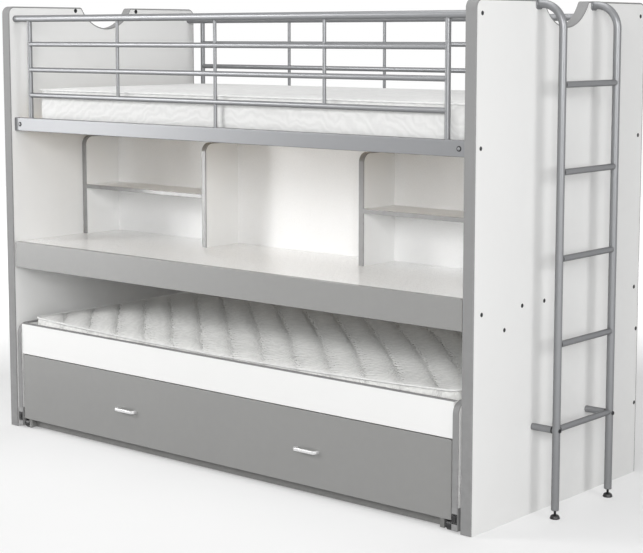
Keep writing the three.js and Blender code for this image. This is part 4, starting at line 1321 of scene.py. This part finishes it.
def sewn_cover(mattress, body, finish):
    """A finished mattress: blown up, subdivided once, and stitched along its channels."""
    bm, held = mattress.mesh()
    piece = make_piece(f"{mattress.node}_cover", bm, [finish], body, [mattress.node], sharp=180)
    piece.modifiers.clear()
    reach = 0
    reach = blow_up(piece, held, QUILT_DEPTH if mattress.quilted else mattress.puff)
    smooth = piece.modifiers.new("subdivision", "SUBSURF")
    smooth.levels = smooth.render_levels = 1
    done = bpy.data.meshes.new_from_object(piece.evaluated_get(bpy.context.evaluated_depsgraph_get()))
    piece.modifiers.clear()
    piece.data = done
    if mattress.quilted:
        for vertex in done.vertices:
            place = (vertex.co - CORNER) / MM - mattress.low
            if place.z > mattress.border * TOP_SHARE and mattress.fade(place.x, place.y) > 0.05:
                phase = mattress.phase(place.x, place.y)
                off = abs(phase - round(phase)) * QUILT_PITCH
                vertex.co.z -= CREASE_DEPTH * MM * max(0, 1 - off / CREASE_REACH)
    piping(mattress, body)
    print(mattress.node, "points", len(done.vertices), "largest move", round(float(reach), 1), "mm")


sewn_cover(Mattress("upper_mattress", 132, corner=28), "root", COVER)
quilted_mattress = Mattress("roll_bed_mattress", 128, dip=22, quilted=True, step=COVER_STEP, puff=0,
                            corner=30)
sewn_cover(quilted_mattress, "roll_bed", QUILTED)
sewn_cover(Mattress("drawer_mattress", 132), "drawer", COVER)

# %% [markdown]
# ## Room and light
# The photograph is a studio picture on white. The floor turns white away from the bed but keeps the bed's
# shadow, by a mask in the floor's own space. The room looks white to the camera, in glossy surfaces and
# through clear ones, but gives hardly any light. The light comes from seven large lamps: two at the front
# left, one at the front right, one at the right, two above, and a low one behind for views of the back.

# %% Floor
FLOOR_REACH = 9000
bm = bmesh.new()
bmesh.ops.create_grid(bm, x_segments=12, y_segments=12, size=FLOOR_REACH)
centre = Vector((bed_length / 2, panel_depth / 2, 0))
for vertex in bm.verts:
    vertex.co = CORNER + (centre + vertex.co) * MM
floor_mesh = bpy.data.meshes.new("floor")
bm.to_mesh(floor_mesh)
bm.free()
floor = bpy.data.objects.new("floor", floor_mesh)
scene.collection.objects.link(floor)


def looked_at(tree):
    """One where the camera looks, straight, in a glossy surface or through a clear one. Else nought."""
    seen = add(tree, "LightPath", {}).outputs
    mirrored = calc(tree, "MAXIMUM", seen["Is Camera Ray"], seen["Is Glossy Ray"])
    return calc(tree, "MAXIMUM", mirrored, seen["Is Transmission Ray"])


studio = bpy.data.materials.new("studio_floor")
studio.use_nodes = True
tree = studio.node_tree
place = own_place(tree)
from_bed = add(tree, "VectorMath", {0: place}, operation="LENGTH").outputs["Value"]
away = ramp(tree, from_bed, 1.9, 3.6)
paper = ramp(tree, noise(tree, place, 1.5, 2.0), start=0.54, end=0.57)
fill(tree, tree.nodes["Principled BSDF"], {
    "Base Color": add(tree, "CombineColor", {0: paper, 1: paper, 2: paper}).outputs[0],
    "Emission Color": (1, 1, 1, 1),
    "Emission Strength": calc(tree, "MULTIPLY", looked_at(tree), ramp(tree, away, start=0.38)),
    "Roughness": 0.9, "Specular IOR Level": 0.1,
})
floor_mesh.materials.append(studio)

# %% World
WORLD_LEVEL = 0.02
world = bpy.data.worlds.new("studio")
scene.world = world
world.use_nodes = True
tree = world.node_tree
tree.nodes.clear()
level = ramp(tree, looked_at(tree), start=WORLD_LEVEL)
background = add(tree, "Background", {"Color": (1, 1, 1, 1), "Strength": level})
add(tree, "OutputWorld", {"Surface": background.outputs[0]})
print("world level", WORLD_LEVEL)

# %% Lamps
AIM = Vector((bed_length / 2, panel_depth / 2, 800))


def lamp(name, place, size, power):
    data = bpy.data.lights.new(name, "AREA")
    data.shape = "RECTANGLE"
    data.size, data.size_y = size
    data.energy = power
    made = bpy.data.objects.new(name, data)
    made.location = CORNER + Vector(place) * MM
    made.rotation_euler = (Vector(place) - AIM).to_track_quat("Z", "Y").to_euler()
    scene.collection.objects.link(made)


lamp("key lamp", (-2900, -2750, 1100), (1.2, 1.8), 45)
lamp("high key lamp", (-2400, -3200, 2800), (1.4, 1.4), 104)
lamp("front lamp", (4900, -4300, 2500), (2.4, 2.4), 184)
lamp("side lamp", (7500, -600, 2200), (3.0, 3.0), 138)
lamp("top lamp", (1100, 450, 4600), (3.0, 1.5), 50)
lamp("top front lamp", (1100, -1400, 4400), (3.0, 1.5), 34)
lamp("rear lamp", (-1800, 5000, 700), (3.0, 1.2), 60)
scene.view_settings.view_transform = "Standard"
